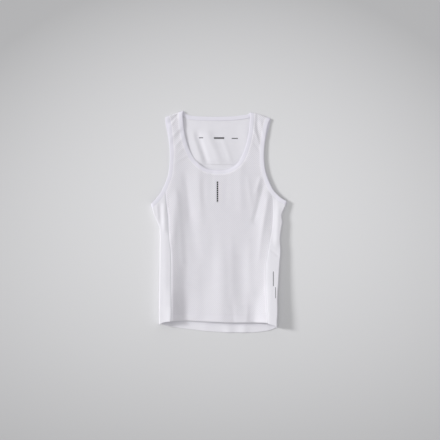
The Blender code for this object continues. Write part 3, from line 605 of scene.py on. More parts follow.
def side_outline(seams):
    side, ring = seams.side, seams.ring
    front_seam, back_seam = seams.line(FRONT), over_side(seams.line(BACK))
    top = ring_edge(ring, seams.front_end + 1, ring.far)
    beyond = over_side(ring_edge(ring, ring.far + 1, seams.back_end - 1, BACK))
    across = np.linspace(front_seam[0, 0], back_seam[0, 0], 34)[1:-1]
    lower = np.stack([across, 0 * across, 0 * across + FRONT], axis=1)
    lower[:, 1] = hem_level(lower) - turned_length()
    outline = joined(front_seam, top, beyond, back_seam[::-1], lower[::-1])
    return outline if side == LEFT else outline[::-1]


def flat_area(outline):
    x, y = outline.T
    return 0.5 * float(np.sum(x * np.roll(y, -1) - np.roll(x, -1) * y))


OUTLINES = {
    "front": front_outline(), "yoke": yoke_outline(), "back": back_outline(),
    "side_left": side_outline(left), "side_right": side_outline(right),
}
for name, outline in OUTLINES.items():
    print(name, "flat size", np.ptp(outline, axis=0).round(1), "area", round(flat_area(outline)))

# %% [markdown]
# ## Filling an outline with cloth
# A flat outline becomes triangles by a Delaunay net over its edge points and a grid of inner
# points. A second row of points just inside the edge lets the cut edge sink into its seam,
# which is what draws the fine dark line of every real seam.

# %% Tests and points in the flat
def inside(points, outline):
    x, y = points.T
    crossings = np.zeros(len(points), int)
    for a, b in zip(outline, np.roll(outline, -1, axis=0)):
        if a[1] != b[1]:
            across = a[0] + (y - a[1]) / (b[1] - a[1]) * (b[0] - a[0])
            crossings += ((a[1] > y) != (b[1] > y)) & (x < across)
    return crossings % 2 == 1


def edge_distance(points, outline):
    nearest = np.full(len(points), 1e9)
    for a, b in zip(outline, np.roll(outline, -1, axis=0)):
        run = b - a
        gap = points - a
        along = np.clip((gap @ run) / (run @ run), 0, 1)
        nearest = np.minimum(nearest, np.hypot(*(gap - along[:, None] * run).T))
    return nearest


def second_row(outline, inset=1.5):
    """Points just inside the edge."""
    run = np.roll(outline, -1, axis=0) - np.roll(outline, 1, axis=0)
    normal = unit(np.stack([-run[:, 1], run[:, 0]], axis=1))
    row = outline + normal * inset
    return row[inside(row, outline) & (edge_distance(row, outline) > 0.85 * inset)]


def grid(low, high, cell):
    rows = []
    for row, up in enumerate(np.arange(low[1], high[1], 0.87 * cell)):
        across = np.arange(low[0] + (cell / 2 if row % 2 else 0), high[0], cell)
        rows.append(np.stack([across, 0 * across + up], axis=1))
    return np.concatenate(rows)


def kept(points, outline, clear):
    points = points[inside(points, outline)]
    return points[edge_distance(points, outline) > clear]


def triangles(outline, inner, fixed_edges=()):
    """A Delaunay net over an outline; returns points and faces."""
    corners = [Vector(point) for point in np.concatenate([outline, inner])]
    loop = list(range(len(outline)))
    net = delaunay_2d_cdt(corners, list(fixed_edges), [loop], 1, 1e-4)
    return np.array([tuple(point) for point in net[0]]), np.array([tuple(face) for face in net[2]])


print("points just inside the yoke's edge:", len(second_row(OUTLINES["yoke"])))


# %% Hem rows and shoulder rows
def hem_rows(outline, layer=FRONT, step=3.0):
    """Close rows of points where the cloth turns at the hem's edge."""
    low, high = outline[:, 0].min(), outline[:, 0].max()
    across = np.arange(low, high, step)
    points = np.stack([across, 0 * across, 0 * across + layer], axis=1)
    level = hem_level(points)
    offsets = (-2.6, -1.9, -1.25, -0.57, 0.1, 0.8, 1.5, 2.4)
    return np.concatenate([np.stack([across, level + offset], axis=1) for offset in offsets])


def shoulder_rows(outline, step=3.0):
    across = np.arange(outline[:, 0].min(), outline[:, 0].max(), step)
    line = shoulder_line(across)
    drops = (1.7, 3.4, 5.1, 6.8, 8.5)
    return np.concatenate([np.stack([across, line - drop], axis=1) for drop in drops])


print("points where the front's hem turns:", len(hem_rows(OUTLINES["front"])))

# %% [markdown]
# ## From flat points to a mesh
# Turning a hem is a half circle at its edge, after which the cloth comes back up inside. A new
# mesh gets a UV map that is simply its flat pattern in metres, so knit and print follow the cloth
# round every fold.

# %% Turning the hem, and wrapping
def turned_up(points):
    """New heights on the garment and depths below its outer face for a turned hem."""
    edge = hem_level(points)
    along = points[:, 1] - edge + slack(HEM_ROLL)
    inset, share = rolled(np.abs(along), HEM_ROLL)
    return edge + inset, HEM_ROLL * (1 - np.sign(along) * share)


def wrap(flat, layer, outline=None, relief=0.0, turned=True):
    points = np.column_stack([flat, np.full(len(flat), float(layer))])
    depth = np.zeros(len(flat))
    if turned:
        points[:, 1], depth = turned_up(points)
    if outline is not None:
        near = np.clip(1 - edge_distance(flat, outline) / EDGE_REACH, 0, 1)
        depth = depth + EDGE_DIP * near**1.5
    return surface(points) + outward(points) * (relief - depth)[:, None]


def add_mesh(name, points, faces, flat=None):
    mesh = bpy.data.meshes.new(name)
    mesh.from_pydata((points * MM).tolist(), [], [tuple(face) for face in faces])
    if flat is not None:
        layer = mesh.uv_layers.new(name="pattern")
        corners = np.zeros(len(mesh.loops), int)
        mesh.loops.foreach_get("vertex_index", corners)
        layer.data.foreach_set("uv", (flat[corners] * MM).ravel())
    mesh.validate()
    mesh.shade_smooth()
    piece = bpy.data.objects.new(name, mesh)
    bpy.context.collection.objects.link(piece)
    print(name, len(mesh.vertices), "points", len(mesh.polygons), "faces")
    return piece


def give_wall(piece, thickness, inner_slot=0):
    """Cloth gets its thickness on the inner side."""
    wall = piece.modifiers.new("wall", "SOLIDIFY")
    wall.thickness = thickness * MM
    wall.offset = -1.0
    wall.material_offset = inner_slot
    for _ in range(2 * inner_slot - len(piece.data.materials)):
        piece.data.materials.append(None)
    bpy.ops.object.select_all(action="DESELECT")
    piece.select_set(True)
    bpy.context.view_layer.objects.active = piece
    bpy.ops.object.modifier_apply(modifier="wall")
    return piece


bpy.ops.object.select_all(action="DESELECT")

# %% [markdown]
# ## The front: mesh knit with real holes
# The front is an open mesh knit. Its small holes stand in staggered rows, about 5.8 mm apart in
# a row and 2.9 mm from row to row. A diamond-shaped cell with one hole repeats without gaps, so
# the whole sheet is one lattice of cells, finished with a plain border along seams and edges.
# The yarn crossings stand a little proud of the holes' rims.

# %% The lattice of holes
HALF = 2.9                       # half a cell, across and up
HOLE_ACROSS, HOLE_UP = 1.08, 1.0
MESH_TOP = 340.0
MESH_FOOT, MESH_SIDE = -330.0, 170.0
START = np.array((1.45, 0.7))    # where the lattice begins
front_flat = OUTLINES["front"]
reach_u = int(700 / (2 * HALF))
steps = np.arange(-reach_u, reach_u + 1)
u, v = [axis.ravel() for axis in np.meshgrid(steps, steps)]
centres = np.stack([HALF * (u + v), HALF * (u - v)], axis=1) + START
keep = (centres[:, 1] < MESH_TOP) & (centres[:, 1] > MESH_FOOT) & (np.abs(centres[:, 0]) < MESH_SIDE)
u, v, centres = u[keep], v[keep], centres[keep]
corners = np.array([(HALF, 0), (0, HALF), (-HALF, 0), (0, -HALF)])
clear = np.ones(len(centres), bool)
for corner in corners:
    place = centres + corner
    clear &= inside(place, front_flat)
    clear &= edge_distance(place, front_flat) > 1.9
u, v, centres = u[clear], v[clear], centres[clear]
print("holes in the front:", len(centres))

# %% Faces of the lattice
def merged(points):
    """Which points to keep where some coincide, and each point's number among the kept."""
    rounded = np.round(points * 100).astype(int)
    _, first, number = np.unique(rounded, axis=0, return_index=True, return_inverse=True)
    return first, number.ravel()


rim = np.array([(HALF, 0), (HALF / 2, HALF / 2), (0, HALF), (-HALF / 2, HALF / 2), (-HALF, 0),
                (-HALF / 2, -HALF / 2), (0, -HALF), (HALF / 2, -HALF / 2)])
angle = np.arange(8) * math.pi / 4
hole = np.stack([HOLE_ACROSS * np.cos(angle), HOLE_UP * np.sin(angle)], axis=1)
shape = np.concatenate([rim, hole])
lift = np.array([0.12, 0.02, 0.12, 0.02, 0.12, 0.02, 0.12, 0.02] + [-0.12] * 8)
cell_faces = np.array([(k, (k + 1) % 8, 8 + (k + 1) % 8, 8 + k) for k in range(8)])
all_points = (centres[:, None, :] + shape[None]).reshape(-1, 2)
all_lift = np.tile(lift, len(centres))
all_faces = (cell_faces[None] + 16 * np.arange(len(centres))[:, None, None]).reshape(-1, 4)
first, twin = merged(all_points)
mesh_points, mesh_lift, mesh_faces = all_points[first], all_lift[first], twin[all_faces]

# edges that only one cell uses form the lattice's outer staircase
rim_edges = twin[(np.array([(k, (k + 1) % 8) for k in range(8)])[None]
                  + 16 * np.arange(len(centres))[:, None, None]).reshape(-1, 2)]
ordered, count = np.unique(np.sort(rim_edges, axis=1), axis=0, return_counts=True)
staircase = ordered[count == 1]
print("lattice faces:", len(mesh_faces), "edges of its border:", len(staircase))

# %% The plain border and the straps
stair_points, stair_index = np.unique(staircase, return_inverse=True)
stair_index = stair_index.reshape(-1, 2)
border = second_row(front_flat)
inner = np.concatenate([mesh_points[stair_points], border])
offset = len(front_flat)
net_points, net_faces = triangles(front_flat, inner, (stair_index + offset).tolist())
middle = net_points[net_faces].mean(axis=1) - START
diagonals = np.stack([middle.sum(axis=1), middle[:, 0] - middle[:, 1]], axis=1)
cell = np.round(diagonals / (2 * HALF)).astype(int)
held = set(zip(u.tolist(), v.tolist()))
open_border = np.array([tuple(pair) not in held for pair in cell.tolist()])
net_faces = net_faces[open_border]
print("border faces:", len(net_faces))

# %% Wrap the front
flat = np.concatenate([mesh_points, net_points])
relief = np.concatenate([mesh_lift, np.zeros(len(net_points))])
first, twin = merged(flat)
faces = [tuple(face) for face in twin[mesh_faces].tolist()]
faces += [tuple(face) for face in twin[net_faces + len(mesh_points)].tolist() if len(set(face)) == 3]
flat, relief = flat[first], relief[first]
front = add_mesh("front_mesh_knit", wrap(flat, FRONT, front_flat, relief), faces, flat)

# %% [markdown]
# ## Back, yoke and side strips: plain knit walls
# These pieces are close plain knit. Each is one flat shape, wrapped and given a thin wall, and
# each hem is turned up once inside. The side strips go round the side folds, and the back lies
# flat on the floor.

# %% Plain panels
def add_panel(name, outline, layer, inner, turned=True):
    points = np.concatenate([kept(inner, outline, 2.0), second_row(outline)])
    flat, faces = triangles(outline, points)
    if layer == BACK:
        faces = faces[:, ::-1]
    return add_mesh(name, wrap(flat, layer, outline, 0.0, turned), faces, flat)


def side_points(seams):
    """Columns round the side fold, closest together where the cloth bends."""
    ups = np.arange(-335, 110, 4.5)
    insets = np.concatenate([np.arange(0, 7, 0.75), np.arange(8, 16, 1.7), np.arange(17, 50, 3.2)])
    columns = []
    for inset in np.concatenate([-insets[1:], insets]):
        columns.append(np.stack([side_line(ups, seams.side) - seams.side * inset, ups], axis=1))
    return np.concatenate(columns)


back_grid = grid((-180, -350), (180, 200), 9.0)
yoke_grid = grid((-180, 160), (180, 335), 4.5)
back = add_panel("back_plain_knit", OUTLINES["back"], BACK,
                 np.concatenate([back_grid, hem_rows(OUTLINES["back"], BACK)]))
yoke_inner = yoke_grid[shoulder_line(yoke_grid[:, 0]) - yoke_grid[:, 1] > 10]
yoke = add_panel("yoke_plain_knit", OUTLINES["yoke"], BACK,
                 np.concatenate([yoke_inner, shoulder_rows(OUTLINES["yoke"])]), turned=False)
side_left = add_panel("side_strip_left", OUTLINES["side_left"], FRONT,
                      np.concatenate([side_points(left), hem_rows(OUTLINES["side_left"])]))
side_right = add_panel("side_strip_right", OUTLINES["side_right"], FRONT,
                       np.concatenate([side_points(right), hem_rows(OUTLINES["side_right"])]))
for piece, inner_slot in ((back, 0), (side_left, 0), (yoke, 1), (side_right, 1)):
    give_wall(piece, KNIT_WALL, inner_slot)

# %% [markdown]
# ## Bindings: one folded strip round each opening
# A binding is a strip folded in half lengthwise, with its fold at the free edge and both cut
# edges sewn down over the panel. Its section is a flat U, carried round the ring and given the
# cloth's thickness on the inner side.

# %% Folded bindings
BINDING_SECTION = [  # in from the free edge, depth below the binding's outer face
    (BINDING_WIDTH, 0.50), (10.5, 0.22), (9.9, 0.10), (9.3, 0.20), (8.6, 0.07), (7.2, 0.01),
    (5.4, 0.0), (3.6, 0.01), (2.0, 0.04), (0.8, 0.12), (0.0, 0.32), (-0.42, 0.62), (-0.5, 0.85),
    (-0.36, 1.14), (0.1, 1.42), (0.9, 1.56), (2.4, BINDING_WALL), (5.4, BINDING_WALL),
    (8.4, BINDING_WALL), (10.0, 1.56), (BINDING_WIDTH, 1.30),
]


def add_binding(name, ring):
    edge, further = surface(ring.band(0.0)), surface(ring.band(2.0))
    off_edge = unit(edge - further)
    rows = []
    for inset, depth in BINDING_SECTION:
        points = ring.band(inset)
        _, _, layer, share = laid(points)
        rise = BINDING_RISE * (1 + layer * share) / 2
        place = surface(points) + outward(points) * (rise - depth)[:, None]
        rows.append(place + off_edge * max(0.0, -inset))
    stations, count = len(edge), len(rows)
    points = np.stack(rows, axis=1).reshape(-1, 3)
    section = np.cumsum([0] + [math.dist(a, b) for a, b in zip(BINDING_SECTION, BINDING_SECTION[1:])])
    along = lengths_along(np.concatenate([edge, edge[:1]]))
    faces, corners = [], []
    for station in range(stations):
        after = (station + 1) % stations
        for row in range(count - 1):
            faces.append((station * count + row, after * count + row,
                          after * count + row + 1, station * count + row + 1))
            corners += [(section[row], along[station]), (section[row], along[station + 1]),
                        (section[row + 1], along[station + 1]), (section[row + 1], along[station])]
    a, b, _, d = points[list(faces[5])]
    if np.dot(np.cross(b - a, d - a), outward(ring.band(8.0))[0]) < 0:
        faces = [face[::-1] for face in faces]
        corners = [corners[4 * place + turn] for place in range(len(faces)) for turn in (3, 2, 1, 0)]
    piece = add_mesh(name, points, faces)
    layer = piece.data.uv_layers.new(name="pattern")
    layer.data.foreach_set("uv", (np.array(corners) * MM).ravel())
    return give_wall(piece, BINDING_CLOTH), float(along[-1])


neck_binding, neck_length = add_binding("neck_band", neck_ring)
left_binding, left_length = add_binding("armhole_band_left", left_ring)
right_binding, right_length = add_binding("armhole_band_right", right_ring)
print("binding lengths:", round(neck_length), round(left_length), round(right_length))

# %% [markdown]
# ## Sewing
# All rows of stitches are copies of one short thread: a small barrel that dips at both ends,
# modelled once and repeated along each seam. A hem has two rows beside each other, a
# binding one row close to its sewn edge, and each panel seam a flat zigzag between two rows.

# %% One stitch
bpy.ops.mesh.primitive_cylinder_add(vertices=6, radius=0.5, depth=0.6, rotation=(0, math.pi / 2, 0),
                                    end_fill_type="NGON")
model = bpy.context.object
bpy.ops.object.mode_set(mode="EDIT")
bpy.ops.mesh.select_mode(type="FACE")
bpy.ops.mesh.select_all(action="DESELECT")
bpy.ops.object.mode_set(mode="OBJECT")
for face in model.data.polygons:
    face.select = len(face.vertices) == 6
bpy.ops.object.mode_set(mode="EDIT")
bpy.ops.mesh.extrude_faces_move(TRANSFORM_OT_shrink_fatten={"value": 0.2})
bpy.ops.transform.resize(value=(1.0, 0.4, 0.4))
bpy.ops.object.mode_set(mode="OBJECT")
bpy.ops.object.transform_apply(location=True, rotation=True, scale=True)
STITCH = np.array([tuple(point.co) for point in model.data.vertices])
STITCH_FACES = [tuple(face.vertices) for face in model.data.polygons]
STITCH[:, 0] /= np.ptp(STITCH[:, 0])
STITCH[:, 2] -= 0.55 * (2 * np.abs(STITCH[:, 0])) ** 3
bpy.data.objects.remove(model)
print("one stitch:", len(STITCH), "points", len(STITCH_FACES), "faces")


# %% Rows of stitches
THREAD = 0.42            # how thick the thread is
STITCH_LENGTH = 1.9      # the part of a stitch that shows
STITCH_PITCH = 2.6       # from one stitch to the next
SUNK = 0.28              # how deep a stitch lies in the knit on the floor side


def sew(name, starts, ends, normals, thickness=THREAD):
    run = ends - starts
    length = np.linalg.norm(run, axis=1, keepdims=True)
    along = run / length
    up = unit(normals - along * (normals * along).sum(axis=1, keepdims=True))
    side = np.cross(up, along)
    centre = (starts + ends) / 2
    points = (centre[:, None] + along[:, None] * (STITCH[:, 0, None] * length[:, None])
              + side[:, None] * STITCH[:, 1, None] * thickness
              + up[:, None] * STITCH[:, 2, None] * thickness).reshape(-1, 3)
    faces = [tuple(corner + len(STITCH) * number for corner in face)
             for number in range(len(starts)) for face in STITCH_FACES]
    return add_mesh(name, points, faces)


def on_cloth(path, depth=0.0, inner=False):
    """Places and ways out along a dense path; under the garment the threads sink into the knit."""
    out = outward(path)
    _, _, layer, share = laid(path)
    under = 0.0 if inner else (1 - layer * share) / 2
    sunk = depth + (SUNK - depth) * under + np.zeros(len(path))
    return surface(path) - out * sunk[:, None], (-out if inner else out)


def stitches(path, depth=0.0, inner=False):
    """Starts, ends and ways out of a straight row."""
    place, out = on_cloth(path, depth, inner)
    lengths = lengths_along(place)
    at = np.arange(0.5, lengths[-1] - STITCH_LENGTH, STITCH_PITCH)
    ways = read_off(out, lengths, at + STITCH_LENGTH / 2)
    return read_off(place, lengths, at), read_off(place, lengths, at + STITCH_LENGTH), ways


def zigzag(path, width=3.2, pitch=2.2, depth=0.0, inner=False):
    """Threads that cross a seam from row to row."""
    run = np.diff(path[:, :2], axis=0)
    run = np.concatenate([run, run[-1:]])
    side = unit(np.stack([-run[:, 1], run[:, 0]], axis=1))
    rows = []
    for way in (-0.5, 0.5):
        moved = path.copy()
        moved[:, :2] += side * width * way
        rows.append(on_cloth(moved, depth, inner))
    (near, out), (far, _) = rows
    lengths = lengths_along(near)
    at = np.arange(0.5, lengths[-1] - pitch, pitch)
    ends = read_off(far, lengths, at + pitch / 2)
    return read_off(near, lengths, at), ends, read_off(out, lengths, at)


def together(*rows):
    return [np.concatenate(part) for part in zip(*rows)]


def hem_path(low, high, layer, above, extra=0.6):
    """A path that keeps its height above the hem's edge, on the pattern."""
    across = np.arange(low + extra, high - extra, 1.0)
    path = np.stack([across, 0 * across, 0 * across + layer], axis=1)
    path[:, 1] = hem_level(path) + above
    return path


def dense(line, step=1.0):
    lengths = lengths_along(line[:, :2])
    return read_off(line, lengths, np.arange(0, lengths[-1], step))


print("stitches", STITCH_LENGTH, "mm long, one every", STITCH_PITCH, "mm")

# %% Hem stitches, all round
HEM_ROWS = (22.3, 19.3)          # above the hem's edge
SEAM_START = 8                   # the first point of a seam's line above the turned hem
front_seams = [left.line(FRONT), right.line(FRONT)]
back_seams = [left.line(BACK), right.line(BACK)]
front_ends = [seam[SEAM_START, 0] for seam in front_seams]
back_ends = [seam[SEAM_START, 0] for seam in back_seams]
hem_parts = [stitches(hem_path(*front_ends, FRONT, above), depth=-0.12) for above in HEM_ROWS]
front_hem_stitches = sew("hem_stitches_front", *together(*hem_parts))
hem_parts = []
for above in HEM_ROWS:
    path = hem_path(*back_ends, BACK, above)
    hem_parts.append(stitches(path, depth=0.26))
    hem_parts.append(stitches(path, depth=2 * HEM_ROLL + 0.05, inner=True))
path = hem_path(*back_ends, BACK, sum(HEM_ROWS) / 2)
hem_parts.append(zigzag(path, width=3.0, depth=2 * HEM_ROLL + 0.1, inner=True))
back_hem_stitches = sew("hem_stitches_back", *together(*hem_parts))
side_stitches = []
for seams, name in ((left, "left"), (right, "right")):
    around = (seams.line(FRONT), over_side(seams.line(BACK)))
    ends = sorted(line[SEAM_START, 0] for line in around)
    hem_parts = [stitches(hem_path(*ends, FRONT, above)) for above in HEM_ROWS]
    side_stitches.append(sew("hem_stitches_side_" + name, *together(*hem_parts)))

# %% Panel seams
seam_pieces = []
for name, seams, depth in (("front", front_seams, 0.05), ("back", back_seams, 0.3)):
    for side, seam in zip(("left", "right"), seams):
        threads = zigzag(dense(seam[SEAM_START + 1:]), depth=depth)
        seam_pieces.append(sew("seam_" + name + "_" + side, *threads))
yoke_path = dense(yoke_line())
seam_pieces.append(sew("seam_yoke", *together(
    zigzag(yoke_path, depth=0.3), zigzag(yoke_path, depth=KNIT_WALL + 0.1, inner=True))))

# %% Binding rows
BAND_ROW = 9.3                   # how far in from the free edge the row is sewn
band_stitches = []
for name, ring in (("neck", neck_ring), ("armhole_left", left_ring), ("armhole_right", right_ring)):
    points = ring.band(BAND_ROW)
    points = np.concatenate([points, points[:1]])
    _, _, layer, share = laid(points)
    over = (1 + layer * share) / 2
    out = outward(points)
    place = surface(points) + out * (BINDING_RISE * over - SUNK + 0.1 * over)[:, None]
    lengths = lengths_along(place)
    at = np.arange(0.0, lengths[-1] - 2.0, STITCH_PITCH)
    starts, ends = read_off(place, lengths, at), read_off(place, lengths, at + STITCH_LENGTH)
    band_stitches.append(sew("stitches_" + name, starts, ends, read_off(out, lengths, at + 1)))

# %% [markdown]
# ## Finishes
# All the cloth is white polyester knit with a faint lavender cast. One node group draws the knit
# loops from the flat pattern, with painted shade that darkens the colour in the grooves between
# loops, and another the slight unevenness of real cloth. Each knit places both with its own
# values, and the thread only the second. A third group draws plain printed bars, read from the
# pattern too.

# %% A helper for node groups
def new_group(name, inputs, outputs):
    group = bpy.data.node_groups.new(name, "ShaderNodeTree")
    for label, kind, value in inputs:
        socket = group.interface.new_socket(label, in_out="INPUT", socket_type=kind)
        if value is not None:
            socket.default_value = value
    for label, kind in outputs:
        group.interface.new_socket(label, in_out="OUTPUT", socket_type=kind)
    source = group.nodes.new("NodeGroupInput")
    target = group.nodes.new("NodeGroupOutput")
    return group, source, target


def maths(tree, operation, *values, clamp=False):
    node = tree.nodes.new("ShaderNodeMath")
    node.operation = operation
    node.use_clamp = clamp
    for slot, value in enumerate(values):
        if isinstance(value, (int, float)):
            node.inputs[slot].default_value = value
        else:
            tree.links.new(value, node.inputs[slot])
    return node.outputs[0]


# %% Knit loops, with painted shade in the grooves between them
KNIT, source, target = new_group(
    "knit_loops",
    [("Vector", "NodeSocketVector", None), ("Wale", "NodeSocketFloat", 0.0009),
     ("Course", "NodeSocketFloat", 0.0007)],
    [("Height", "NodeSocketFloat"), ("Painted_shade", "NodeSocketFloat")])
split = KNIT.nodes.new("ShaderNodeSeparateXYZ")
KNIT.links.new(source.outputs["Vector"], split.inputs[0])
wale = maths(KNIT, "FRACT", maths(KNIT, "DIVIDE", split.outputs[0], source.outputs["Wale"]))
away = maths(KNIT, "ABSOLUTE", maths(KNIT, "SUBTRACT", maths(KNIT, "MULTIPLY", wale, 2.0), 1.0))
course = maths(KNIT, "ADD", maths(KNIT, "DIVIDE", split.outputs[1], source.outputs["Course"]),
               maths(KNIT, "MULTIPLY", away, 0.55))
turn = maths(KNIT, "MULTIPLY", course, 2 * math.pi)
wave = maths(KNIT, "MULTIPLY_ADD", maths(KNIT, "SINE", turn), 0.5, 0.5)
round_off = maths(KNIT, "SUBTRACT", 1.0, maths(KNIT, "POWER", away, 3.0))
height = maths(KNIT, "MULTIPLY", wave, round_off)
KNIT.links.new(height, target.inputs["Height"])
# painted shade: the second output darkens the colour where a loop lies low, in the grooves between loops
KNIT.links.new(maths(KNIT, "MULTIPLY_ADD", height, 0.5, 0.5), target.inputs["Painted_shade"])
print(KNIT.name, "has", len(KNIT.nodes), "nodes")

# %% Unevenness of the cloth
UNEVEN, source, target = new_group(
    "cloth_unevenness",
    [("Vector", "NodeSocketVector", None), ("Scale", "NodeSocketFloat", 60.0)],
    [("Mottle", "NodeSocketFloat"), ("Fuzz", "NodeSocketFloat")])
for label, factor, detail in (("Mottle", 1.0, 3.0), ("Fuzz", 22.0, 2.0)):
    noise = UNEVEN.nodes.new("ShaderNodeTexNoise")
    noise.inputs["Detail"].default_value = detail
    UNEVEN.links.new(source.outputs["Vector"], noise.inputs["Vector"])
    UNEVEN.links.new(maths(UNEVEN, "MULTIPLY", source.outputs["Scale"], factor), noise.inputs["Scale"])
    UNEVEN.links.new(noise.outputs["Fac"], target.inputs[label])
print(UNEVEN.name, "has", len(UNEVEN.nodes), "nodes")

# %% Plain printed bars
BAR, source, target = new_group(
    "printed_bar",
    [("Vector", "NodeSocketVector", None), ("Centre", "NodeSocketVector", (0, 0, 0)),
     ("Half size", "NodeSocketVector", (0.001, 0.001, 1))],
    [("Mask", "NodeSocketFloat")])
gap = BAR.nodes.new("ShaderNodeVectorMath")
gap.operation = "SUBTRACT"
BAR.links.new(source.outputs["Vector"], gap.inputs[0])
BAR.links.new(source.outputs["Centre"], gap.inputs[1])
far = BAR.nodes.new("ShaderNodeSeparateXYZ")
BAR.links.new(gap.outputs[0], far.inputs[0])
size = BAR.nodes.new("ShaderNodeSeparateXYZ")
BAR.links.new(source.outputs["Half size"], size.inputs[0])
sides = []
for axis in (0, 1):
    away = maths(BAR, "ABSOLUTE", far.outputs[axis])
    sides.append(maths(BAR, "LESS_THAN", away, size.outputs[axis]))
BAR.links.new(maths(BAR, "MULTIPLY", *sides), target.inputs["Mask"])
print(BAR.name, "has", len(BAR.nodes), "nodes")


# %% A knit material
def add_group(tree, group, vector, **values):
    node = tree.nodes.new("ShaderNodeGroup")
    node.node_tree = group
    tree.links.new(vector, node.inputs["Vector"])
    for label, value in values.items():
        node.inputs[label.replace("_", " ")].default_value = value
    return node


def mixed(tree, factor, first, second):
    node = tree.nodes.new("ShaderNodeMix")
    node.data_type = "RGBA"
    for value, slot in ((factor, 0), (first, 6), (second, 7)):
        if isinstance(value, (int, float)):
            node.inputs[slot].default_value = value
        elif isinstance(value, tuple):
            node.inputs[slot].default_value = (*value, 1.0)
        else:
            tree.links.new(value, node.inputs[slot])
    return node.outputs[2]


def knit_material(name, light, deep, roughness, wale, course, bump, sheen,
                  bars=(), ink=(0.02, 0.02, 0.024)):
    made = bpy.data.materials.new(name)
    made.use_nodes = True
    tree = made.node_tree
    shader = tree.nodes["Principled BSDF"]
    shader.inputs["Sheen Weight"].default_value = sheen
    shader.inputs["Sheen Roughness"].default_value = 0.45
    shader.inputs["Specular IOR Level"].default_value = 0.3
    source = tree.nodes.new("ShaderNodeUVMap")
    source.uv_map = "pattern"
    knit = add_group(tree, KNIT, source.outputs[0], Wale=wale, Course=course)
    uneven = add_group(tree, UNEVEN, source.outputs[0], Scale=45.0)
    # random mottle is the cloth's own uneven tone; the knit group adds painted shade in the grooves
    # between loops
    mottle_and_painted_shade = maths(tree, "MULTIPLY_ADD", uneven.outputs["Mottle"], 0.35, -0.1)
    mottle_and_painted_shade = maths(tree, "ADD", mottle_and_painted_shade, knit.outputs["Painted_shade"], clamp=True)
    colour = mixed(tree, mottle_and_painted_shade, deep, light)
    for centre, half in bars:
        bar = add_group(tree, BAR, source.outputs[0], Centre=(centre[0] * MM, centre[1] * MM, 0),
                        Half_size=(half[0] * MM, half[1] * MM, 1))
        colour = mixed(tree, bar.outputs["Mask"], colour, ink)
    tree.links.new(colour, shader.inputs["Base Color"])
    tree.links.new(maths(tree, "MULTIPLY_ADD", uneven.outputs["Fuzz"], 0.2, roughness - 0.1),
                   shader.inputs["Roughness"])
    rise = maths(tree, "MULTIPLY_ADD", uneven.outputs["Fuzz"], 0.4, knit.outputs["Height"])
    relief = tree.nodes.new("ShaderNodeBump")
    relief.inputs["Strength"].default_value = bump
    relief.inputs["Distance"].default_value = 0.0003
    tree.links.new(rise, relief.inputs["Height"])
    tree.links.new(relief.outputs[0], shader.inputs["Normal"])
    return made


# %% The garment's knits
CHEST_BAR = [((-4.5, 87.0), (2.0, 30.0))]
NECK_BARS = [((-52.0, 244.0), (6.0, 1.4)), ((0.0, 243.0), (15.0, 2.6)), ((46.0, 242.0), (9.0, 1.4))]
SIDE_BARS = [((157.0, -165.0), (1.0, 21.0)), ((163.5, -205.0), (0.8, 16.0))]
# light and deep colour (towards the deep one the knit paints shade in its grooves), roughness,
# width and height of a loop in metres, relief, sheen
MESH = ((0.92, 0.905, 0.955), (0.83, 0.81, 0.88), 0.78, 0.0011, 0.0008, 0.5, 0.25)
PLAIN = ((0.84, 0.83, 0.875), (0.74, 0.725, 0.79), 0.7, 0.0009, 0.0007, 0.35, 0.3)
INSIDE = ((0.825, 0.815, 0.86), (0.725, 0.71, 0.775), 0.7, 0.0009, 0.0007, 0.35, 0.3)
BAND = ((0.825, 0.81, 0.885), (0.74, 0.72, 0.81), 0.6, 0.0008, 0.0012, 0.35, 0.35)
mesh_knit = knit_material("mesh_knit_white", *MESH, CHEST_BAR)
plain_knit = knit_material("plain_knit_white", *PLAIN)
inside_knit = knit_material("plain_knit_inside_print", *INSIDE, NECK_BARS, (0.12, 0.12, 0.13))
side_knit = knit_material("plain_knit_side_print", *PLAIN, SIDE_BARS, (0.10, 0.10, 0.11))
band_knit = knit_material("binding_knit_white", *BAND)
print("knits:", [made.name for made in (mesh_knit, plain_knit, inside_knit, side_knit, band_knit)])


# %% The thread, and every piece's finish
def thread_material():
    made = bpy.data.materials.new("white_sewing_thread")
    made.use_nodes = True
    tree = made.node_tree
    shader = tree.nodes["Principled BSDF"]
    shader.inputs["Sheen Weight"].default_value = 0.2
    place = tree.nodes.new("ShaderNodeTexCoord")
    uneven = add_group(tree, UNEVEN, place.outputs["Object"], Scale=400.0)
    tree.links.new(mixed(tree, uneven.outputs["Mottle"], (0.68, 0.66, 0.74), (0.86, 0.85, 0.9)),
                   shader.inputs["Base Color"])
    roughness = maths(tree, "MULTIPLY_ADD", uneven.outputs["Fuzz"], 0.2, 0.45)
    tree.links.new(roughness, shader.inputs["Roughness"])
    return made


white_thread = thread_material()
sewing = [front_hem_stitches, back_hem_stitches] + side_stitches + seam_pieces + band_stitches
for piece in sewing:
    piece.data.materials.append(white_thread)
front.data.materials.append(mesh_knit)
for piece in (back, side_left):
    piece.data.materials.append(plain_knit)
for piece in (neck_binding, left_binding, right_binding):
    piece.data.materials.append(band_knit)
for piece, outer, within in ((yoke, plain_knit, inside_knit), (side_right, side_knit, plain_knit)):
    piece.data.materials[0], piece.data.materials[1] = outer, within
print("sewn rows:", len(sewing))

# %% [markdown]
# ## Riding on the frame
# Each sheet stands for its solid, which is hidden, and says how it was cut. All pieces ride on
# the one body.

# %% Attach pieces, hide their solids and print their cuts
def flat_size(outline):
    wide, long = np.ptp(outline, axis=0) * MM
    return (float(wide), float(long)), flat_area(outline) * MM * MM


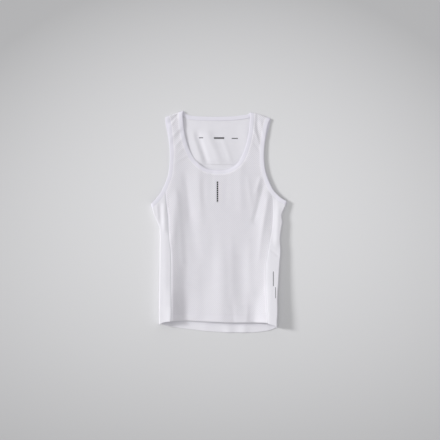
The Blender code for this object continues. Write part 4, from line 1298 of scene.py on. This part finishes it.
CUTS = [
    (front, "front_panel", "mesh_knit", OUTLINES["front"], ["back_plain_knit"],
     [front_hem_stitches] + seam_pieces[:2]),
    (back, "back_panel", "plain_knit", OUTLINES["back"], [],
     [back_hem_stitches] + seam_pieces[2:]),
    (yoke, "back_yoke", "plain_knit", OUTLINES["yoke"], [], []),
    (side_left, "side_panel_left", "plain_knit", OUTLINES["side_left"], [], side_stitches[:1]),
    (side_right, "side_panel_right", "plain_knit", OUTLINES["side_right"], [], side_stitches[1:]),
]
for piece, node, slot, outline, under, extra in CUTS:
    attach(piece, "root")
    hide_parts(node)
    size, area = flat_size(outline)
    print(node, "cut", size, area)
BANDS = [
    (neck_binding, "neck_binding", neck_length, band_stitches[0]),
    (left_binding, "armhole_binding_left", left_length, band_stitches[1]),
    (right_binding, "armhole_binding_right", right_length, band_stitches[2]),
]
for piece, node, length, extra in BANDS:
    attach(piece, "root")
    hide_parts(node)
for piece in sewing:
    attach(piece, "root")

# %% [markdown]
# ## Floor, light and camera
# The garment was photographed from straight above on a pale seamless floor. A long soft light
# from the left, low enough to rake the cloth, draws the folds and the shadow on the right, and
# a large soft light overhead fills the rest.
# The floor's colour is painted paler in the middle and darker towards its edges: a painted pool of
# light.

# %% Floor, paler in the middle: a painted pool of light
bpy.ops.object.select_all(action="DESELECT")
bpy.ops.mesh.primitive_plane_add(size=12.0, location=(0, 0, -0.0003))
floor = bpy.context.object
floor.name = "floor"
paper = bpy.data.materials.new("floor_with_painted_light")
paper.use_nodes = True
tree = paper.node_tree
shader = tree.nodes["Principled BSDF"]
shader.inputs["Roughness"].default_value = 0.9
place = tree.nodes.new("ShaderNodeTexCoord")
split = tree.nodes.new("ShaderNodeSeparateXYZ")
tree.links.new(place.outputs["Object"], split.inputs[0])
across, up = split.outputs[0], maths(tree, "SUBTRACT", split.outputs[1], 0.08)
up_squared = maths(tree, "MULTIPLY", up, up)
spread = maths(tree, "MULTIPLY_ADD", up, 0.33, 0.33)
light_falloff = maths(tree, "MULTIPLY", maths(tree, "MULTIPLY", across, across), spread)
light_falloff = maths(tree, "MULTIPLY_ADD", up_squared, 0.64, light_falloff)
light_falloff = maths(tree, "MULTIPLY_ADD", maths(tree, "MULTIPLY", up_squared, up), 0.21, light_falloff)
# painted light: the floor's colour falls off from a paler middle towards the edges, a painted pool of
# light
painted_light_pool = maths(tree, "MAXIMUM", maths(tree, "SUBTRACT", 1.0, light_falloff), 0.68)
tree.links.new(mixed(tree, painted_light_pool, (0.0, 0.0, 0.0), (0.768, 0.768, 0.782)), shader.inputs["Base Color"])
shader.inputs["Specular IOR Level"].default_value = 0.1
floor.data.materials.append(paper)
print("floor:", round(floor.dimensions.x, 1), "m across")

# %% Light
KEY_TILT, KEY_TURN = -63, -15    # degrees: down from overhead, and round from the left
scene = bpy.context.scene
scene.view_settings.view_transform = "Standard"
world = bpy.data.worlds.new("studio")
world.use_nodes = True
world.node_tree.nodes["Background"].inputs[0].default_value = (1.0, 1.0, 1.0, 1)
world.node_tree.nodes["Background"].inputs[1].default_value = 0.46
scene.world = world
sun = bpy.data.lights.new("key", "SUN")
sun.energy = 2.12
sun.angle = math.radians(12)
key = bpy.data.objects.new("key", sun)
key.rotation_euler = (0, math.radians(KEY_TILT), math.radians(KEY_TURN))
scene.collection.objects.link(key)
lamp = bpy.data.lights.new("overhead", "AREA")
lamp.shape = "DISK"
lamp.size = 1.2
lamp.energy = 5.0
overhead = bpy.data.objects.new("overhead", lamp)
overhead.location = (0.0, -0.1, 1.7)
overhead.visible_camera = False
scene.collection.objects.link(overhead)
print("key light", 90 + KEY_TILT, "degrees above the floor")

# %% Camera
SENSOR, LENS = 36.0, 90.0
PICTURE_WIDTH = 1.276            # metres across the picture, at the height of the cloth
CLOTH_HEIGHT = 0.010
camera_data = bpy.data.cameras.new("camera")
camera_data.sensor_width = SENSOR
camera_data.lens = LENS
camera = bpy.data.objects.new("camera", camera_data)
camera.location = (0.0029, 0.0049, CLOTH_HEIGHT + LENS / SENSOR * PICTURE_WIDTH)
scene.collection.objects.link(camera)
scene.camera = camera
print("camera height:", round(camera.location.z, 3), "m")
